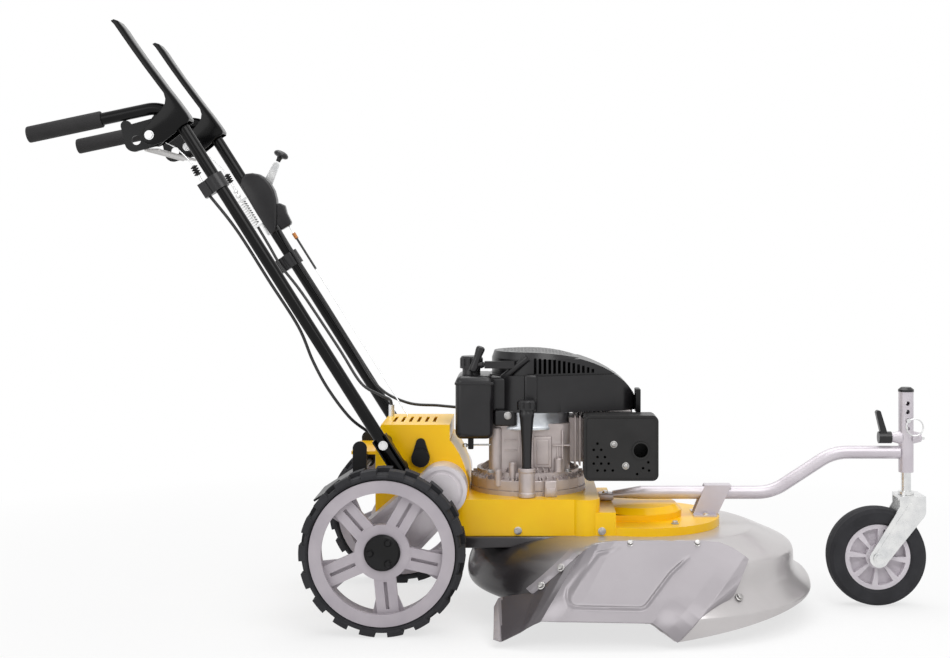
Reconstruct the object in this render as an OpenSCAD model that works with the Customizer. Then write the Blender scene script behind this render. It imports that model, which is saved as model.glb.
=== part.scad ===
// Three-wheel walk-behind brush mower with a side discharge deck.
// Lengths in millimetres. X points forward, Y to the left, Z up.
// Places are measured from the rear axle line, and every piece is then moved by frame_x.

/* [Rear wheels] */
// Outer radius of the rear tyre over its lugs
wheel_r = 155; // [145:1:165]
// Overall width of the rear tyre
tyre_w = 75; // [68:1:82]
// Distance between the rear wheels' centre planes
track = 450; // [440:1:500]
// Radius of the tyre between the lugs
carcass_r = 147; // [142:1:150]
// Outer radius of the rim flange
rim_r = 136; // [130:1:138]
// Inner radius of the rim's front ring
rim_inner_r = 113; // [105:1:118]
// Number of double spokes
spoke_count = 5; // [3:1:7]
// Width of one double spoke
spoke_w = 41; // [30:1:50]
// Number of lugs in one row of the tread
lug_count = 18; // [12:1:24]
// Radius of the wheel shaft
axle_r = 10; // [8:0.5:12]
// Radius of the black hub disc
hub_disc_r = 34; // [30:1:40]

/* [Castor] */
// Radius of the castor wheel
castor_r = 100; // [90:1:105]
// Width of the castor wheel
castor_w = 50; // [40:1:55]
// Outer radius of the castor's cast rim
castor_rim_r = 65.7; // [55:0.1:75]
// Distance of the castor post ahead of the rear axle
post_x = 1040.5; // [1030:0.5:1080]
// Distance from the castor post back to the castor axle
castor_trail = 62; // [50:1:70]
// Outer diameter of the castor post
post_od = 30; // [28:0.5:34]
// Height of the lower end of the castor post
post_bottom_z = 269; // [260:1:280]
// Height of the upper end of the castor post
post_top_z = 432; // [425:1:445]
// Radius of the castor stem
stem_r = 10; // [8:0.5:11]
// Height of the pin that the stem stops against
pin_z = 375; // [365:1:380]
// Radius of the height pin
pin_r = 4; // [3:0.25:4.2]
// Spacing of the pin holes
pin_pitch = 17; // [14:0.5:20]

/* [Front arm] */
// Outer diameter of the front arm tube
arm_od = 26.5; // [24:0.5:30]
// Wall of the front arm tube
arm_wall = 2.5; // [2:0.5:4]
// Height of the arm's rear run
arm_low_z = 227.4; // [226:0.2:232]
// Height of the arm's front run
arm_high_z = 308.8; // [302:0.2:315]
// Bend radius of the arm tube
arm_bend_r = 100; // [80:1:120]

/* [Deck] */
// Distance of the cutter spindle ahead of the rear axle
spindle_x = 500; // [495:1:510]
// Height of the flat deck top
deck_top_z = 168; // [160:1:172]
// Radius of the flat deck top
deck_flat_r = 222; // [210:1:230]
// How far the deck's upright wall stands inside the rim
deck_wall_in = 35; // [30:1:40]
// Radius of the deck's flared rim
rim_flare_r = 341; // [335:1:350]
// Height where the deck's rim ends at the front and rear
rim_low_z = 52; // [46:1:58]
// Sheet thickness of the deck
sheet = 3; // [2:0.5:4]
// Radius of the circle that the cutter sweeps
cutter_r = 262; // [240:1:280]
// Height of the cutter bar's underside
cutter_z = 74; // [70:1:80]

/* [Chassis] */
// Height of the engine seat on the yellow base
seat_z = 238; // [232:1:244]
// Half width of the yellow base
base_half_w = 150; // [145:1:160]
// Wall of the yellow covers
cover_wall = 2.5; // [2:0.5:4]
// Half width of the yellow transmission housing
gear_half_w = 97; // [90:1:100]
// Height of the top of the transmission housing
gear_top_z = 376; // [366:1:386]

/* [Handlebar] */
// Distance from the centre plane to each handle tube
handle_y = 160; // [155:1:165]
// Outer diameter of the handle tubes
handle_od = 24; // [22:0.5:26]
// Wall of the handle tubes
handle_wall = 2; // [1.5:0.5:3]
// Slope of the handle tubes above the ground plane
handle_slope = 57.5; // [50:0.5:65]
// Bend radius between handle and grip
handle_bend_r = 60; // [50:1:70]
// Diameter of the hand grips
grip_od = 32; // [30:0.5:34]
// Length of the hand grips
grip_len = 141; // [120:1:145]
// Radius of the empty hole in each bracket plate
switch_hole_r = 9; // [7:0.5:10]

/* [Engine] */
// Distance of the crankshaft ahead of the rear axle
engine_x = 273; // [270:1:278]
// Radius of the engine's round base flange
flange_r = 116; // [110:1:118]
// Radius of the blower housing round the flywheel
blower_r = 100; // [96:1:102]
// Height of the top of the blower housing
blower_top_z = 517; // [505:1:530]
// Length of the muffler
muffler_len = 145; // [130:1:150]
// Height of the muffler
muffler_h = 127; // [120:1:128]
// Radius of the exhaust outlet
outlet_r = 14; // [10:0.5:16]

/* [Hidden] */
$fn = 64;

// Overrun of every cut
over = 1;
// Running clearance of shafts, on the radius
run_gap = 0.05;
// Clearance between moving faces
gap = 0.4;
// Share of an end circle's radius that a strip's corners stand at
strip_share = 0.985;
// Rings in one bend of a tube, and its sides
bend_steps = 8;
tube_sides = 32;

// Rear wheel
bead_r = 127;
bead_half_w = 28;
rim_flange_t = 5;
tyre_gap = 0.5;
tyre_side_r = 140;
tyre_shoulder_r = 143;
tread_half_w = 31;
lug_turn = 11;
lug_start = 14;
lug_row_gap = 6;
lug_chamfer = 5;
lug_drop = 9;
lug_root_r = 141.5;
lug_proud = 1;
rim_barrel_r = 120;
rim_bite = 3;
ring_depth = 9;
spoke_z = 10;
spoke_t = 9;
spoke_start = -12.4;
spoke_slot_w = 6.5;
spoke_slot_in = 55;
spoke_slot_out = 106;
hub_face_r = 52;
web_t = 5;
hub_proud = 0.8;
spoke_root = 40;
web_spread = 17;
hub_disc_t = 8;
hub_bolt_r = 6.8;
hub_bolt_h = 4.5;
hub_bolt_pcr = 22;
hub_bolt_count = 3;
axle_inset = 13;

// Castor
castor_bore_r = 6;
castor_hub_r = 16;
castor_crown = 5;
castor_pockets = 8;
pocket_in_r = 24;
pocket_out_r = 57;
pocket_turn = 33;
pocket_depth = 14;
fork_gap = 4;
fork_t = 4;
fork_top_z = 224;
fork_plate_t = 6;
fork_front_r = 26;
fork_front_x = 6;
fork_front_z = 196;
fork_end_r = 19;
fork_emboss_t = 2;
fork_emboss_share = 0.55;
stem_collar_r = 16;
stem_collar_h = 6;
axle_head_r = 9;
axle_head_h = 6;
axle_washer_t = 2;
hole_play = 0.5;
hole_low_share = 1.12;
boss_r = 14;
boss_tip_r = 9;
boss_len = 20;
clamp_z = 339;
clamp_stud_r = 4;
clamp_hub_r = 12;
clamp_hub_len = 26;
clamp_arm_len = 52;
clamp_arm_r = 7;
clamp_tip_r = 5;
clamp_lean = 15;
cap_h = 9;
cap_r_extra = 0.8;
cap_skirt = 6;
ring_r = 17;
ring_wire_r = 1.4;
ring_drop = 13;
ring_ahead = 12;
pin_reach = 9;
nut_h = 7;

// Front arm
arm_start_x = 500;
arm_taper = 55;
arm_flat_len = 30;
arm_flat_w = 34;
arm_flat_t = 14;
arm_seam = 0.5;
arm_plug = 4;
arm_bend1_x = 767;
arm_bend2_x = 892;
arm_end_bite = 8;
saddle_t = 3;
saddle_low_x0 = 606;
saddle_low_x1 = 655;
saddle_top_x0 = 631;
saddle_top_x1 = 684;
saddle_foot_w = 26;

// Deck
shoulder_in = 7;
shoulder_z = 135;
wall_top_z = 128;
wall_low_z = 90;
flare_z = 54;
tip_z = 12;
tip_x = 538;
tip_rise_x = 492;
front_low_z = 54;
spindle_boss_r = 42;
spindle_boss_up = 10;
spindle_boss_down = 40;
spindle_r = 12.5;
spindle_collar_r = 34;
spindle_collar_h = 34;
rear_pan_x = 140;
rear_pan_half_w = 160;
rear_pan_drop = 27;
chute_top_x0 = 418;
chute_top_x1 = 642;
chute_mid_x0 = 366;
chute_mid_x1 = 680;
chute_mid_share = 0.2;
chute_low_x0 = 289;
chute_low_x1 = 545;
chute_top_y = 205;
chute_in_y = 150;
chute_mid_in_y = 190;
chute_low_in_y = 250;
chute_reach = 60;
fin_a_x = 372;
fin_a_y = 226;
fin_a_z = 142;
fin_b_x = 240;
fin_b_y = 300;
fin_b_z = 64;
fin_c_x = 223;
fin_c_y = 330;
fin_c_z = 16;
panel_bead = 3;
panel_margin_share = 0.16;
cutter_w = 64;
cutter_t = 6;
cutter_wing_len = 70;
cutter_wing_tilt = 16;
foot_bolt_share = 0.65;
wing_share = 0.8;
cutter_bolt_r = 13;
cutter_bolt_h = 9;
cutter_washer_r = 28;
cutter_washer_t = 4;

// Chassis
base_rear_x = 128;
base_step_x = 411;
base_front_x = 442;
base_step_z = 213;
base_corner_r = 18;
pillar_x = 382;
pillar_r = 30;
pillar_out = 8;
tray_out = 10;
tray_h = 16;
dome_x = 492;
dome_r = 92;
dome_top_z = 209;
dome_round = 12;
gear_rear_x = -27;
gear_rear_z = 345;
gear_top_x0 = -16;
gear_front_x = 119;
gear_shoulder_z = 344;
gear_front_r = 156;
gear_front_z = 245;
gear_low_z = 200;
louvre_count = 6;
louvre_len = 90;
louvre_w = 6;
louvre_pitch = 16;
louvre_x = 50;
bearing_x = 62;
bearing_z = 312;
bearing_r = 18;
bearing_h = 12;
bearing_rise_share = 1.6;
drive_x = 107;
drive_z = 257;
drive_small_r = 48;
drive_big_r = 56;
drive_out_y = 165;
drive_border = 8;
drive_border_depth = 4;
drive_axle_depth = 55;
drive_cut_gap = 1;
strap_z = 316;
strap_t = 6;
strap_back_x = -76;
tail_x = -59;
tail_top_z = 328;
tail_w = 28;
tail_t = 5;
tail_y = 88;
guard_z = 282;
guard_len = 108;
guard_t = 4;
guard_drop = 32.5;
guard_bar_r = 8;

// Handlebar
bolt_x = -5;
bolt_z = 345;
tube_low = 62;
channel_h = 30;
channel_wall = 3;
channel_low = 88;
channel_up = 16;
boss_bore_r = 11;
boss_low = 58;
vertex_x = -418;
vertex_z = 998;
grip_slope = 12;
grip_front = 131;
grip_end_wall = 5;
pivot_x = -450;
pivot_z = 938.5;
pivot_r = 5;
bush_r = 9;
plate_t = 6;
plate_a_x = -500;
plate_a_z = 958;
plate_a_r = 10;
plate_b_x = -484;
plate_b_z = 926;
plate_b_r = 18;
hole_x = -480;
hole_z = 930;
plate_c_x = -446;
plate_c_z = 940;
plate_c_r = 22;
lever_in = 19;
lever_t = 3;
knee_dx = 66;
knee_dz = 47;
knee_r = 9;
tip_dx = -60;
tip_dz = 216;
tip_r = 6;
ear_dx = 55;
ear_dz = 41;
ear_r = 27;
lever_eye_r = 17;
web_from_share = 0.05;
quad_along = 560;
quad_r = 64;
quad_t = 38;
quad_tab_r = 16;
quad_tab_turn = 58;
quad_tab_len_share = 0.55;
throttle_t = 4;
throttle_boss_r = 10;
throttle_boss_h = 2;
throttle_w = 14;
throttle_len = 92;
throttle_turn = 66;
knob_r = 16;
knob_len = 34;
knob_neck_r = 8;
knob_neck = 16;
round_share = 0.85;
rise_share = 0.8;
crown_share = 0.45;
flute_low_share = 0.2;
flute_share = 0.09;
clamp_near_along = 582;
clamp_far_along = 405;
clamp_len = 30;
clamp_r = 19;
clamp_ear = 14;
spring_along = 520;
spring_len = 62;
spring_r = 7;
spring_wire_r = 1.3;
spring_turns = 10;
spring_off = 24;
spring_sides = 6;
spring_steps = 8;
anchor_w = 16;
anchor_len = 30;
anchor_t = 3;

// Engine
flange_low_h = 9;
flange_h = 43;
flange_neck_r = 103;
rib_count = 24;
rib_w = 4;
case_x0 = 195;
case_x1 = 356;
case_half_w = 74;
case_h = 94;
case_corner = 20;
barrel_x1 = 440;
barrel_half_w = 44;
barrel_z0 = 296;
barrel_z1 = 384;
fin_count = 8;
fin_t = 3;
fin_half_w = 60;
fin_grow = 6;
head_x1 = 484;
exhaust_r = 16;
exhaust_x = 462;
exhaust_z = 345;
ring_in_wall = 2;
ring_blower_r = 80;
ring_h = 24;
blower_low_z = 399;
blower_mid_z = 471;
blower_step = 9;
crown_steps = 15;
blower_shift = 18;
blower_nose_x = 440;
blower_nose_r = 54;
blower_wall = 3;
blower_round = 14;
slot_count = 16;
slot_w = 5.5;
slot_low_z = 475;
slot_top_margin = 11;
slot_x0 = 284;
slot_pitch = 9.6;
grille_hole_r = 3.4;
grille_pitch = 14;
grille_rows = 4;
grille_x0 = 226;
grille_count = 13;
grille_low_z = 484;
guide_len = 59;
guide_h = 14;
guide_r = 7;
muffler_x = 381;
muffler_z = 271;
muffler_near_y = 132;
muffler_depth = 62;
muffler_corner = 12;
muffler_wall = 2;
muffler_face_in = 6;
muffler_face_t = 4;
muffler_hole_r = 2.6;
muffler_hole_shares = [[0.18, 0.575], [0.13, 0.48], [0.23, 0.48], [0.18, 0.37], [0.28, 0.37], [0.13, 0.27], [0.23, 0.27],
    [0.33, 0.27], [0.18, 0.165], [0.28, 0.165], [0.385, 0.165], [0.86, 0.29], [0.79, 0.2], [0.71, 0.11], [0.87, 0.165]];
outlet_x = 491;
outlet_z = 331;
outlet_lip = 3;
tank_x0 = 130;
tank_x1 = 204;
tank_z0 = 348;
tank_h = 124;
tank_y0 = -106;
tank_y1 = 34;
tank_corner = 16;
tank_gap = 0.5;
neck_x = 160;
neck_y = -50;
neck_r = 18;
neck_h = 12;
cap_r = 23;
fuel_cap_h = 24;
cap_grips = 12;
starter_x = 194;
starter_y = -84;
starter_z = 500;
starter_bar_r = 9;
starter_bar_len = 54;
starter_stem_r = 5.5;
starter_stem_h = 15;
starter_rise = 11;
starter_turn = 70;
dip_x = 270;
dip_y = -122;
dip_r = 10;
dip_boss_r = 15;
dip_low_z = 256;
dip_boss_h = 34;
dip_top_z = 409;
dip_cap_r = 19;
dip_cap_h = 18;
dip_grips = 10;
carb_x = 430;
carb_y0 = 62;
carb_r = 20;
carb_len = 34;
filter_x0 = 372;
filter_x1 = 492;
filter_z0 = 300;
filter_h = 96;
filter_d = 52;
filter_corner = 16;

// Fasteners
bolt_r = 7;
bolt_h = 5.5;
washer_r = 9;
washer_t = 1.5;
small_bolt_r = 5;
small_bolt_h = 4;

// Cable sizes
cable_r = 3;
wire_r = 1.2;
sleeve_r = 2.4;
ferrule_r = 4;
ferrule_len = 14;
sleeve_from_share = 0.05;
sleeve_to_share = 0.24;
elbow_r = 6;
elbow_h = 24;
cable_sides = 8;
cable_steps = 3;

// Cable routes
clutch_route = [[-339, -160, 823], [-287, -160, 757], [-224, -160, 658], [-169, -160, 572],
    [-141, -160, 506], [-112, -158, 452], [-72, -150, 397], [-38, -128, 366], [-22, -101, 350]];
drive_route = [[-303, 160, 768], [-278, 152, 728], [-250, 140, 684], [-203, 120, 628], [-122, 90, 514],
    [-73, 68, 443], [-32, 54, 420], [-12, 50, 411], [-8, 50, 400]];
throttle_route = [[-260, 146, 771], [-230, 138, 723], [-203, 137, 681], [-150, 136, 598], [-100, 134, 518],
    [-44, 124, 432], [20, 112, 398], [90, 108, 392], [150, 88, 386], [195, 56, 366]];
wire_a = [-240, 162, 775];
wire_b = [24, 66, 376];

// Derived places
axle_z = wheel_r;
half_track = track / 2;
deck_wall_r = rim_flare_r - deck_wall_in;
shoulder_r = deck_wall_r - shoulder_in;
tray_r = base_half_w + tray_out;
castor_x = post_x - castor_trail;
grip_end = grip_front + grip_len;
rear_end_x = vertex_x - (grip_end + grip_end_wall) * cos(grip_slope) - grip_od / 2 * sin(grip_slope);
front_end_x = castor_x + castor_r;
frame_x = -(front_end_x + rear_end_x) / 2;
handle_turn = 180 - handle_slope;
stem_top_z = pin_z - pin_r - gap;
flange_top_z = seat_z + flange_h;
case_top_z = flange_top_z + case_h;
tray_top_z = deck_top_z + tray_h;
blower_x = engine_x + blower_shift;
foot_top_z = tray_top_z + saddle_t;

// Moves a piece from the rear axle's frame to the part's frame
module placed() {
    translate([frame_x, 0, 0]) children();
}

// Extrudes a side view outline (x, z) from y0 over the width w
module side(y0, w) {
    translate([0, y0 + w, 0]) rotate([90, 0, 0]) linear_extrude(height = w) children();
}

// The straight sides between two circles, set a little inside them
module strip2d(ax, ay, ra, bx, by, rb) {
    d = norm([bx - ax, by - ay]);
    t = acos((ra - rb) / d);
    e = atan2(by - ay, bx - ax);
    a = ra * strip_share;
    b = rb * strip_share;
    polygon([[ax + a * cos(e + t), ay + a * sin(e + t)], [bx + b * cos(e + t), by + b * sin(e + t)],
        [bx + b * cos(e - t), by + b * sin(e - t)], [ax + a * cos(e - t), ay + a * sin(e - t)]]);
}

// A bar outline with round ends of two radii
module link2d(ax, ay, ra, bx, by, rb) {
    translate([ax, ay]) circle(r = ra);
    translate([bx, by]) circle(r = rb);
    strip2d(ax, ay, ra, bx, by, rb);
}

// A rectangle with round corners, its low corner at the origin
module rrect(w, h, r) {
    translate([r, 0]) square([w - 2 * r, h]);
    translate([0, r]) square([w, h - 2 * r]);
    for (x = [r, w - r]) for (y = [r, h - r]) translate([x, y]) circle(r = r);
}

// Lays a piece along a line in the side view: local X along the line, local Z to its left
module along(x, y, z, turn) {
    translate([x, y, z]) rotate([0, -turn, 0]) children();
}

// A cylinder along X, from the origin
module rod_x(r, len) {
    rotate([0, 90, 0]) cylinder(r = r, h = len);
}

// A cylinder along Y, from y0
module rod_y(x, y0, z, r, len) {
    translate([x, y0, z]) rotate([-90, 0, 0]) cylinder(r = r, h = len);
}

// A hexagon bolt head on a washer, standing on the XY plane
module bolt_head(r, h) {
    cylinder(r = r * washer_r / bolt_r, h = washer_t);
    cylinder(r = r, h = h, $fn = 6);
}

module bolt_out(x, y, z, r, h) {
    translate([x, y, z]) rotate([y < 0 ? 90 : -90, 0, 0]) bolt_head(r, h);
}

// Points of a bent tube's middle line in the side view, each corner rounded to bend_r
function turn_of(a, b, c) = let (d = atan2(c[1] - b[1], c[0] - b[0]) - atan2(b[1] - a[1], b[0] - a[0]))
    d > 180 ? d - 360 : (d < -180 ? d + 360 : d);
function dir_of(a, b) = (b - a) / norm(b - a);
function bend_start(p, i, bend_r) = p[i] - dir_of(p[i - 1], p[i]) * bend_r * tan(abs(turn_of(p[i - 1], p[i], p[i + 1])) / 2);
function bend_centre(p, i, bend_r) = let (u = dir_of(p[i - 1], p[i]), s = sign(turn_of(p[i - 1], p[i], p[i + 1])))
    bend_start(p, i, bend_r) + bend_r * s * [-u[1], u[0]];
function bent_line(p, bend_r) = concat([p[0]],
    [for (i = [1 : len(p) - 2]) let (a = turn_of(p[i - 1], p[i], p[i + 1]), c = bend_centre(p, i, bend_r),
        q = bend_start(p, i, bend_r), from = atan2(q[1] - c[1], q[0] - c[0]))
        for (k = [0 : bend_steps]) c + bend_r * [cos(from + a * k / bend_steps), sin(from + a * k / bend_steps)]],
    [p[len(p) - 1]]);

// A hollow tube swept along a line in the side view, as one closed skin
module bent_tube(p, r, wall, bend_r) {
    line = bent_line(p, bend_r);
    n = len(line);
    m = tube_sides;
    dirs = [for (i = [0 : n - 1]) dir_of(line[max(0, i - 1)], line[min(n - 1, i + 1)])];
    rings = [for (f = [r, r - wall]) for (i = [0 : n - 1]) for (k = [0 : m - 1])
        let (c = f * cos(360 * k / m), d = f * sin(360 * k / m)) [line[i][0] - dirs[i][1] * c, d, line[i][1] + dirs[i][0] * c]];
    skin = n * m;
    walls = [for (i = [0 : n - 2]) for (k = [0 : m - 1]) let (a = i * m + k, b = i * m + (k + 1) % m)
        each [[a, b + m, a + m], [a, b, b + m], [skin + a, skin + a + m, skin + b + m], [skin + a, skin + b + m, skin + b]]];
    ends = [for (k = [0 : m - 1]) let (b = (k + 1) % m, e = (n - 1) * m)
        each [[k, skin + b, b], [k, skin + k, skin + b], [e + k, e + b, skin + e + b], [e + k, skin + e + b, skin + e + k]]];
    polyhedron(points = rings, faces = concat(walls, ends));
}

// One bend of such a line as a solid ring, to cut its seat
module bend_solid(p, i, r, bend_r) {
    a = turn_of(p[i - 1], p[i], p[i + 1]);
    c = bend_centre(p, i, bend_r);
    q = bend_start(p, i, bend_r);
    from = atan2(q[1] - c[1], q[0] - c[0]);
    rotate([90, 0, 0]) translate([c[0], c[1], 0]) rotate([0, 0, a > 0 ? from : from + a])
        rotate_extrude(angle = abs(a)) translate([bend_r, 0]) circle(r = r);
}

// Points along a route, smoothed between its own points
function clamp_at(p, i) = p[max(0, min(len(p) - 1, i))];
function smooth(p, i, t) = let (a = clamp_at(p, i - 1), b = p[i], c = clamp_at(p, i + 1), d = clamp_at(p, i + 2))
    0.5 * (2 * b + (c - a) * t + (2 * a - 5 * b + 4 * c - d) * t * t + (3 * b - a - 3 * c + d) * t * t * t);
function route_points(p, n) = concat([for (i = [0 : len(p) - 2]) for (k = [0 : n - 1]) smooth(p, i, k / n)],
    [p[len(p) - 1]]);

// A round tube swept along points, as one closed skin
module swept(q, r, sides) {
    n = len(q);
    dirs = [for (i = [0 : n - 1]) let (d = q[min(n - 1, i + 1)] - q[max(0, i - 1)]) d / norm(d)];
    rings = [for (i = [0 : n - 1]) let (w = dirs[i], h = cross(w, [0, 1, 0]), a = h / norm(h), b = cross(w, a))
        for (k = [0 : sides - 1]) q[i] + r * (cos(360 * k / sides) * a + sin(360 * k / sides) * b)];
    walls = [for (i = [0 : n - 2]) for (k = [0 : sides - 1]) let (m = (k + 1) % sides)
        each [[i * sides + k, (i + 1) * sides + k, (i + 1) * sides + m], [i * sides + k, (i + 1) * sides + m, i * sides + m]]];
    caps = [for (k = [1 : sides - 2]) each [[0, k, k + 1], [(n - 1) * sides, (n - 1) * sides + k + 1, (n - 1) * sides + k]]];
    polyhedron(points = rings, faces = concat(walls, caps));
}

// Rear wheels, drawn with the axle along Z and the outer face up
module at_right() {
    placed() translate([0, -half_track, axle_z]) rotate([90, 0, 0]) children();
}

module at_left() {
    placed() mirror([0, 1, 0]) translate([0, -half_track, axle_z]) rotate([90, 0, 0]) children();
}

module tyre() {
    wall = tyre_w / 2 - lug_proud;
    rotate_extrude() polygon([[bead_r, -bead_half_w], [rim_r + tyre_gap, -bead_half_w], [tyre_side_r, -wall],
        [tyre_shoulder_r, -wall], [carcass_r, -tread_half_w], [carcass_r, tread_half_w],
        [tyre_shoulder_r, wall], [tyre_side_r, wall], [rim_r + tyre_gap, bead_half_w], [bead_r, bead_half_w]]);
    for (row = [0, 1]) for (i = [0 : lug_count - 1])
        mirror([0, 0, row]) rotate([0, 0, lug_start + (i + row / 2) * 360 / lug_count]) rotate_extrude(angle = lug_turn)
            polygon([[lug_root_r, lug_row_gap / 2], [wheel_r, lug_row_gap / 2], [wheel_r, tyre_w / 2 - lug_chamfer],
                [wheel_r - lug_drop, tyre_w / 2], [lug_root_r, tyre_w / 2]]);
}

module rim() {
    flange = bead_half_w + rim_flange_t;
    rotate_extrude() polygon([[rim_barrel_r, -flange], [rim_r, -flange], [rim_r, -bead_half_w], [bead_r, -bead_half_w],
        [bead_r, bead_half_w], [rim_r, bead_half_w], [rim_r, flange], [rim_inner_r, flange],
        [rim_inner_r, flange - ring_depth], [rim_barrel_r, flange - 2 * ring_depth]]);
    difference() {
        intersection() {
            translate([0, 0, spoke_z - web_t - over]) cylinder(r = rim_barrel_r + rim_bite, h = spoke_t + web_t + 2 * over);
            union() {
                translate([0, 0, spoke_z - web_t - hub_proud]) cylinder(r = hub_face_r, h = spoke_t + web_t + 2 * hub_proud);
                for (i = [0 : spoke_count - 1]) rotate([0, 0, spoke_start + i * 360 / spoke_count]) {
                    translate([spoke_root, -spoke_w / 2, spoke_z - web_t / 2]) cube([rim_r, spoke_w, spoke_t + web_t / 2]);
                    translate([0, 0, spoke_z - web_t]) linear_extrude(height = web_t) polygon([[spoke_root, 0],
                        [hub_face_r, -spoke_w / 4], [rim_r, -spoke_w / 2 - web_spread],
                        [rim_r, spoke_w / 2 + web_spread], [hub_face_r, spoke_w / 4]]);
                }
            }
        }
        for (i = [0 : spoke_count - 1]) rotate([0, 0, spoke_start + i * 360 / spoke_count])
            translate([spoke_slot_in, -spoke_slot_w / 2, spoke_z + hub_proud])
                cube([spoke_slot_out - spoke_slot_in, spoke_slot_w, spoke_t + over]);
        translate([0, 0, spoke_z - web_t - over]) cylinder(r = axle_r, h = spoke_t + web_t + 2 * over);
    }
}

module hub() {
    face = spoke_z + spoke_t + hub_proud;
    inner = -(half_track - gear_half_w - axle_inset);
    translate([0, 0, inner]) cylinder(r = axle_r, h = face - inner + over);
    translate([0, 0, face]) rotate_extrude() polygon([[0, 0], [hub_disc_r, 0], [hub_disc_r, hub_disc_t / 2],
        [hub_disc_r - hub_disc_t / 2, hub_disc_t], [0, hub_disc_t]]);
    for (i = [0 : hub_bolt_count - 1]) rotate([0, 0, 60 + i * 360 / hub_bolt_count])
        translate([hub_bolt_pcr, 0, face + hub_disc_t]) rotate_extrude() polygon([[0, -over], [hub_bolt_r, -over],
            [hub_bolt_r, hub_bolt_h / 3], [hub_bolt_r * 2 / 3, hub_bolt_h], [0, hub_bolt_h]]);
}

module tyre_right() { color([0.16, 0.16, 0.17]) at_right() tyre(); }
module tyre_left() { color([0.16, 0.16, 0.17]) at_left() tyre(); }
module rim_right() { color([0.68, 0.66, 0.69]) at_right() rim(); }
module rim_left() { color([0.68, 0.66, 0.69]) at_left() rim(); }
module hub_right() { color([0.1, 0.1, 0.1]) at_right() hub(); }
module hub_left() { color([0.1, 0.1, 0.1]) at_left() hub(); }

// Deck
module bowl(inset, low_z) {
    translate([spindle_x, 0, 0]) rotate_extrude() polygon([[0, deck_top_z - inset], [deck_flat_r - inset / 2, deck_top_z - inset],
        [shoulder_r - inset, shoulder_z - inset / 2], [deck_wall_r - inset, wall_top_z - inset / 2],
        [deck_wall_r - inset, wall_low_z - inset / 2], [rim_flare_r - inset, flare_z - inset / 2],
        [rim_flare_r - inset, low_z], [0, low_z]]);
}

chute_mid_y = chute_top_y + (rim_flare_r - chute_top_y) * chute_mid_share;
chute_mid_z = deck_top_z + (rim_low_z - deck_top_z) * chute_mid_share;

// The side chute as a solid: its slanting outer face is the flat panel
module chute(inset, drop) {
    hull() {
        translate([chute_top_x0 + inset, -chute_top_y + inset, deck_top_z - inset - sheet])
            cube([chute_top_x1 - chute_top_x0 - 2 * inset, chute_top_y - chute_in_y, sheet]);
        translate([chute_mid_x0 + inset, -chute_mid_y + inset, chute_mid_z - inset - sheet])
            cube([chute_mid_x1 - chute_mid_x0 - 2 * inset, chute_mid_y - chute_mid_in_y, sheet]);
        translate([chute_low_x0 + inset, -rim_flare_r + inset, rim_low_z - drop])
            cube([chute_low_x1 - chute_low_x0 - 2 * inset, rim_flare_r - chute_low_in_y, sheet + drop]);
    }
}

// All that lies outside the panel's inner face, cut out of the deck
module chute_window() {
    hull() {
        translate([chute_top_x0, -rim_flare_r - chute_reach, deck_top_z - sheet])
            cube([chute_top_x1 - chute_top_x0, rim_flare_r + chute_reach - chute_top_y + sheet, sheet + over]);
        translate([chute_mid_x0, -rim_flare_r - chute_reach, chute_mid_z - sheet])
            cube([chute_mid_x1 - chute_mid_x0, rim_flare_r + chute_reach - chute_mid_y + sheet, sheet]);
        translate([chute_low_x0, -rim_flare_r - chute_reach, rim_low_z])
            cube([chute_low_x1 - chute_low_x0, chute_reach + sheet, sheet]);
    }
}

// Room under the deck's lower edge, cut away from the rim
module rim_cut() {
    front = spindle_x + rim_flare_r;
    side(-rim_flare_r - over, 2 * (rim_flare_r + over)) polygon([[0, -over], [0, rim_low_z], [tip_rise_x, rim_low_z],
        [tip_x, tip_z], [front + over, front_low_z], [front + over, -over]]);
}

module rear_pan(inset) {
    translate([rear_pan_x + inset, -rear_pan_half_w + inset, deck_top_z - rear_pan_drop - (inset > 0 ? over : 0)])
        cube([spindle_x - rear_pan_x - 2 * inset, 2 * (rear_pan_half_w - inset), rear_pan_drop - inset + (inset > 0 ? over : 0)]);
}

module deck_shell() {
    color([0.78, 0.77, 0.77]) placed() difference() {
        union() {
            difference() {
                union() {
                    bowl(0, 0);
                    rear_pan(0);
                }
                bowl(sheet, -over);
                difference() {
                    rear_pan(sheet);
                    bowl(0, 0);
                }
                rim_cut();
                chute(sheet, rim_low_z);
                chute_window();
            }
            translate([spindle_x, 0, deck_top_z - spindle_boss_down])
                cylinder(r = spindle_boss_r, h = spindle_boss_down + spindle_boss_up);
        }
        translate([spindle_x, 0, deck_top_z - spindle_boss_down - over])
            cylinder(r = spindle_r + run_gap, h = spindle_boss_down + spindle_boss_up + 2 * over);
    }
}

module fin_point(x, y, z) {
    translate([x, -y, z]) cube([sheet, sheet, sheet]);
}

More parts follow.
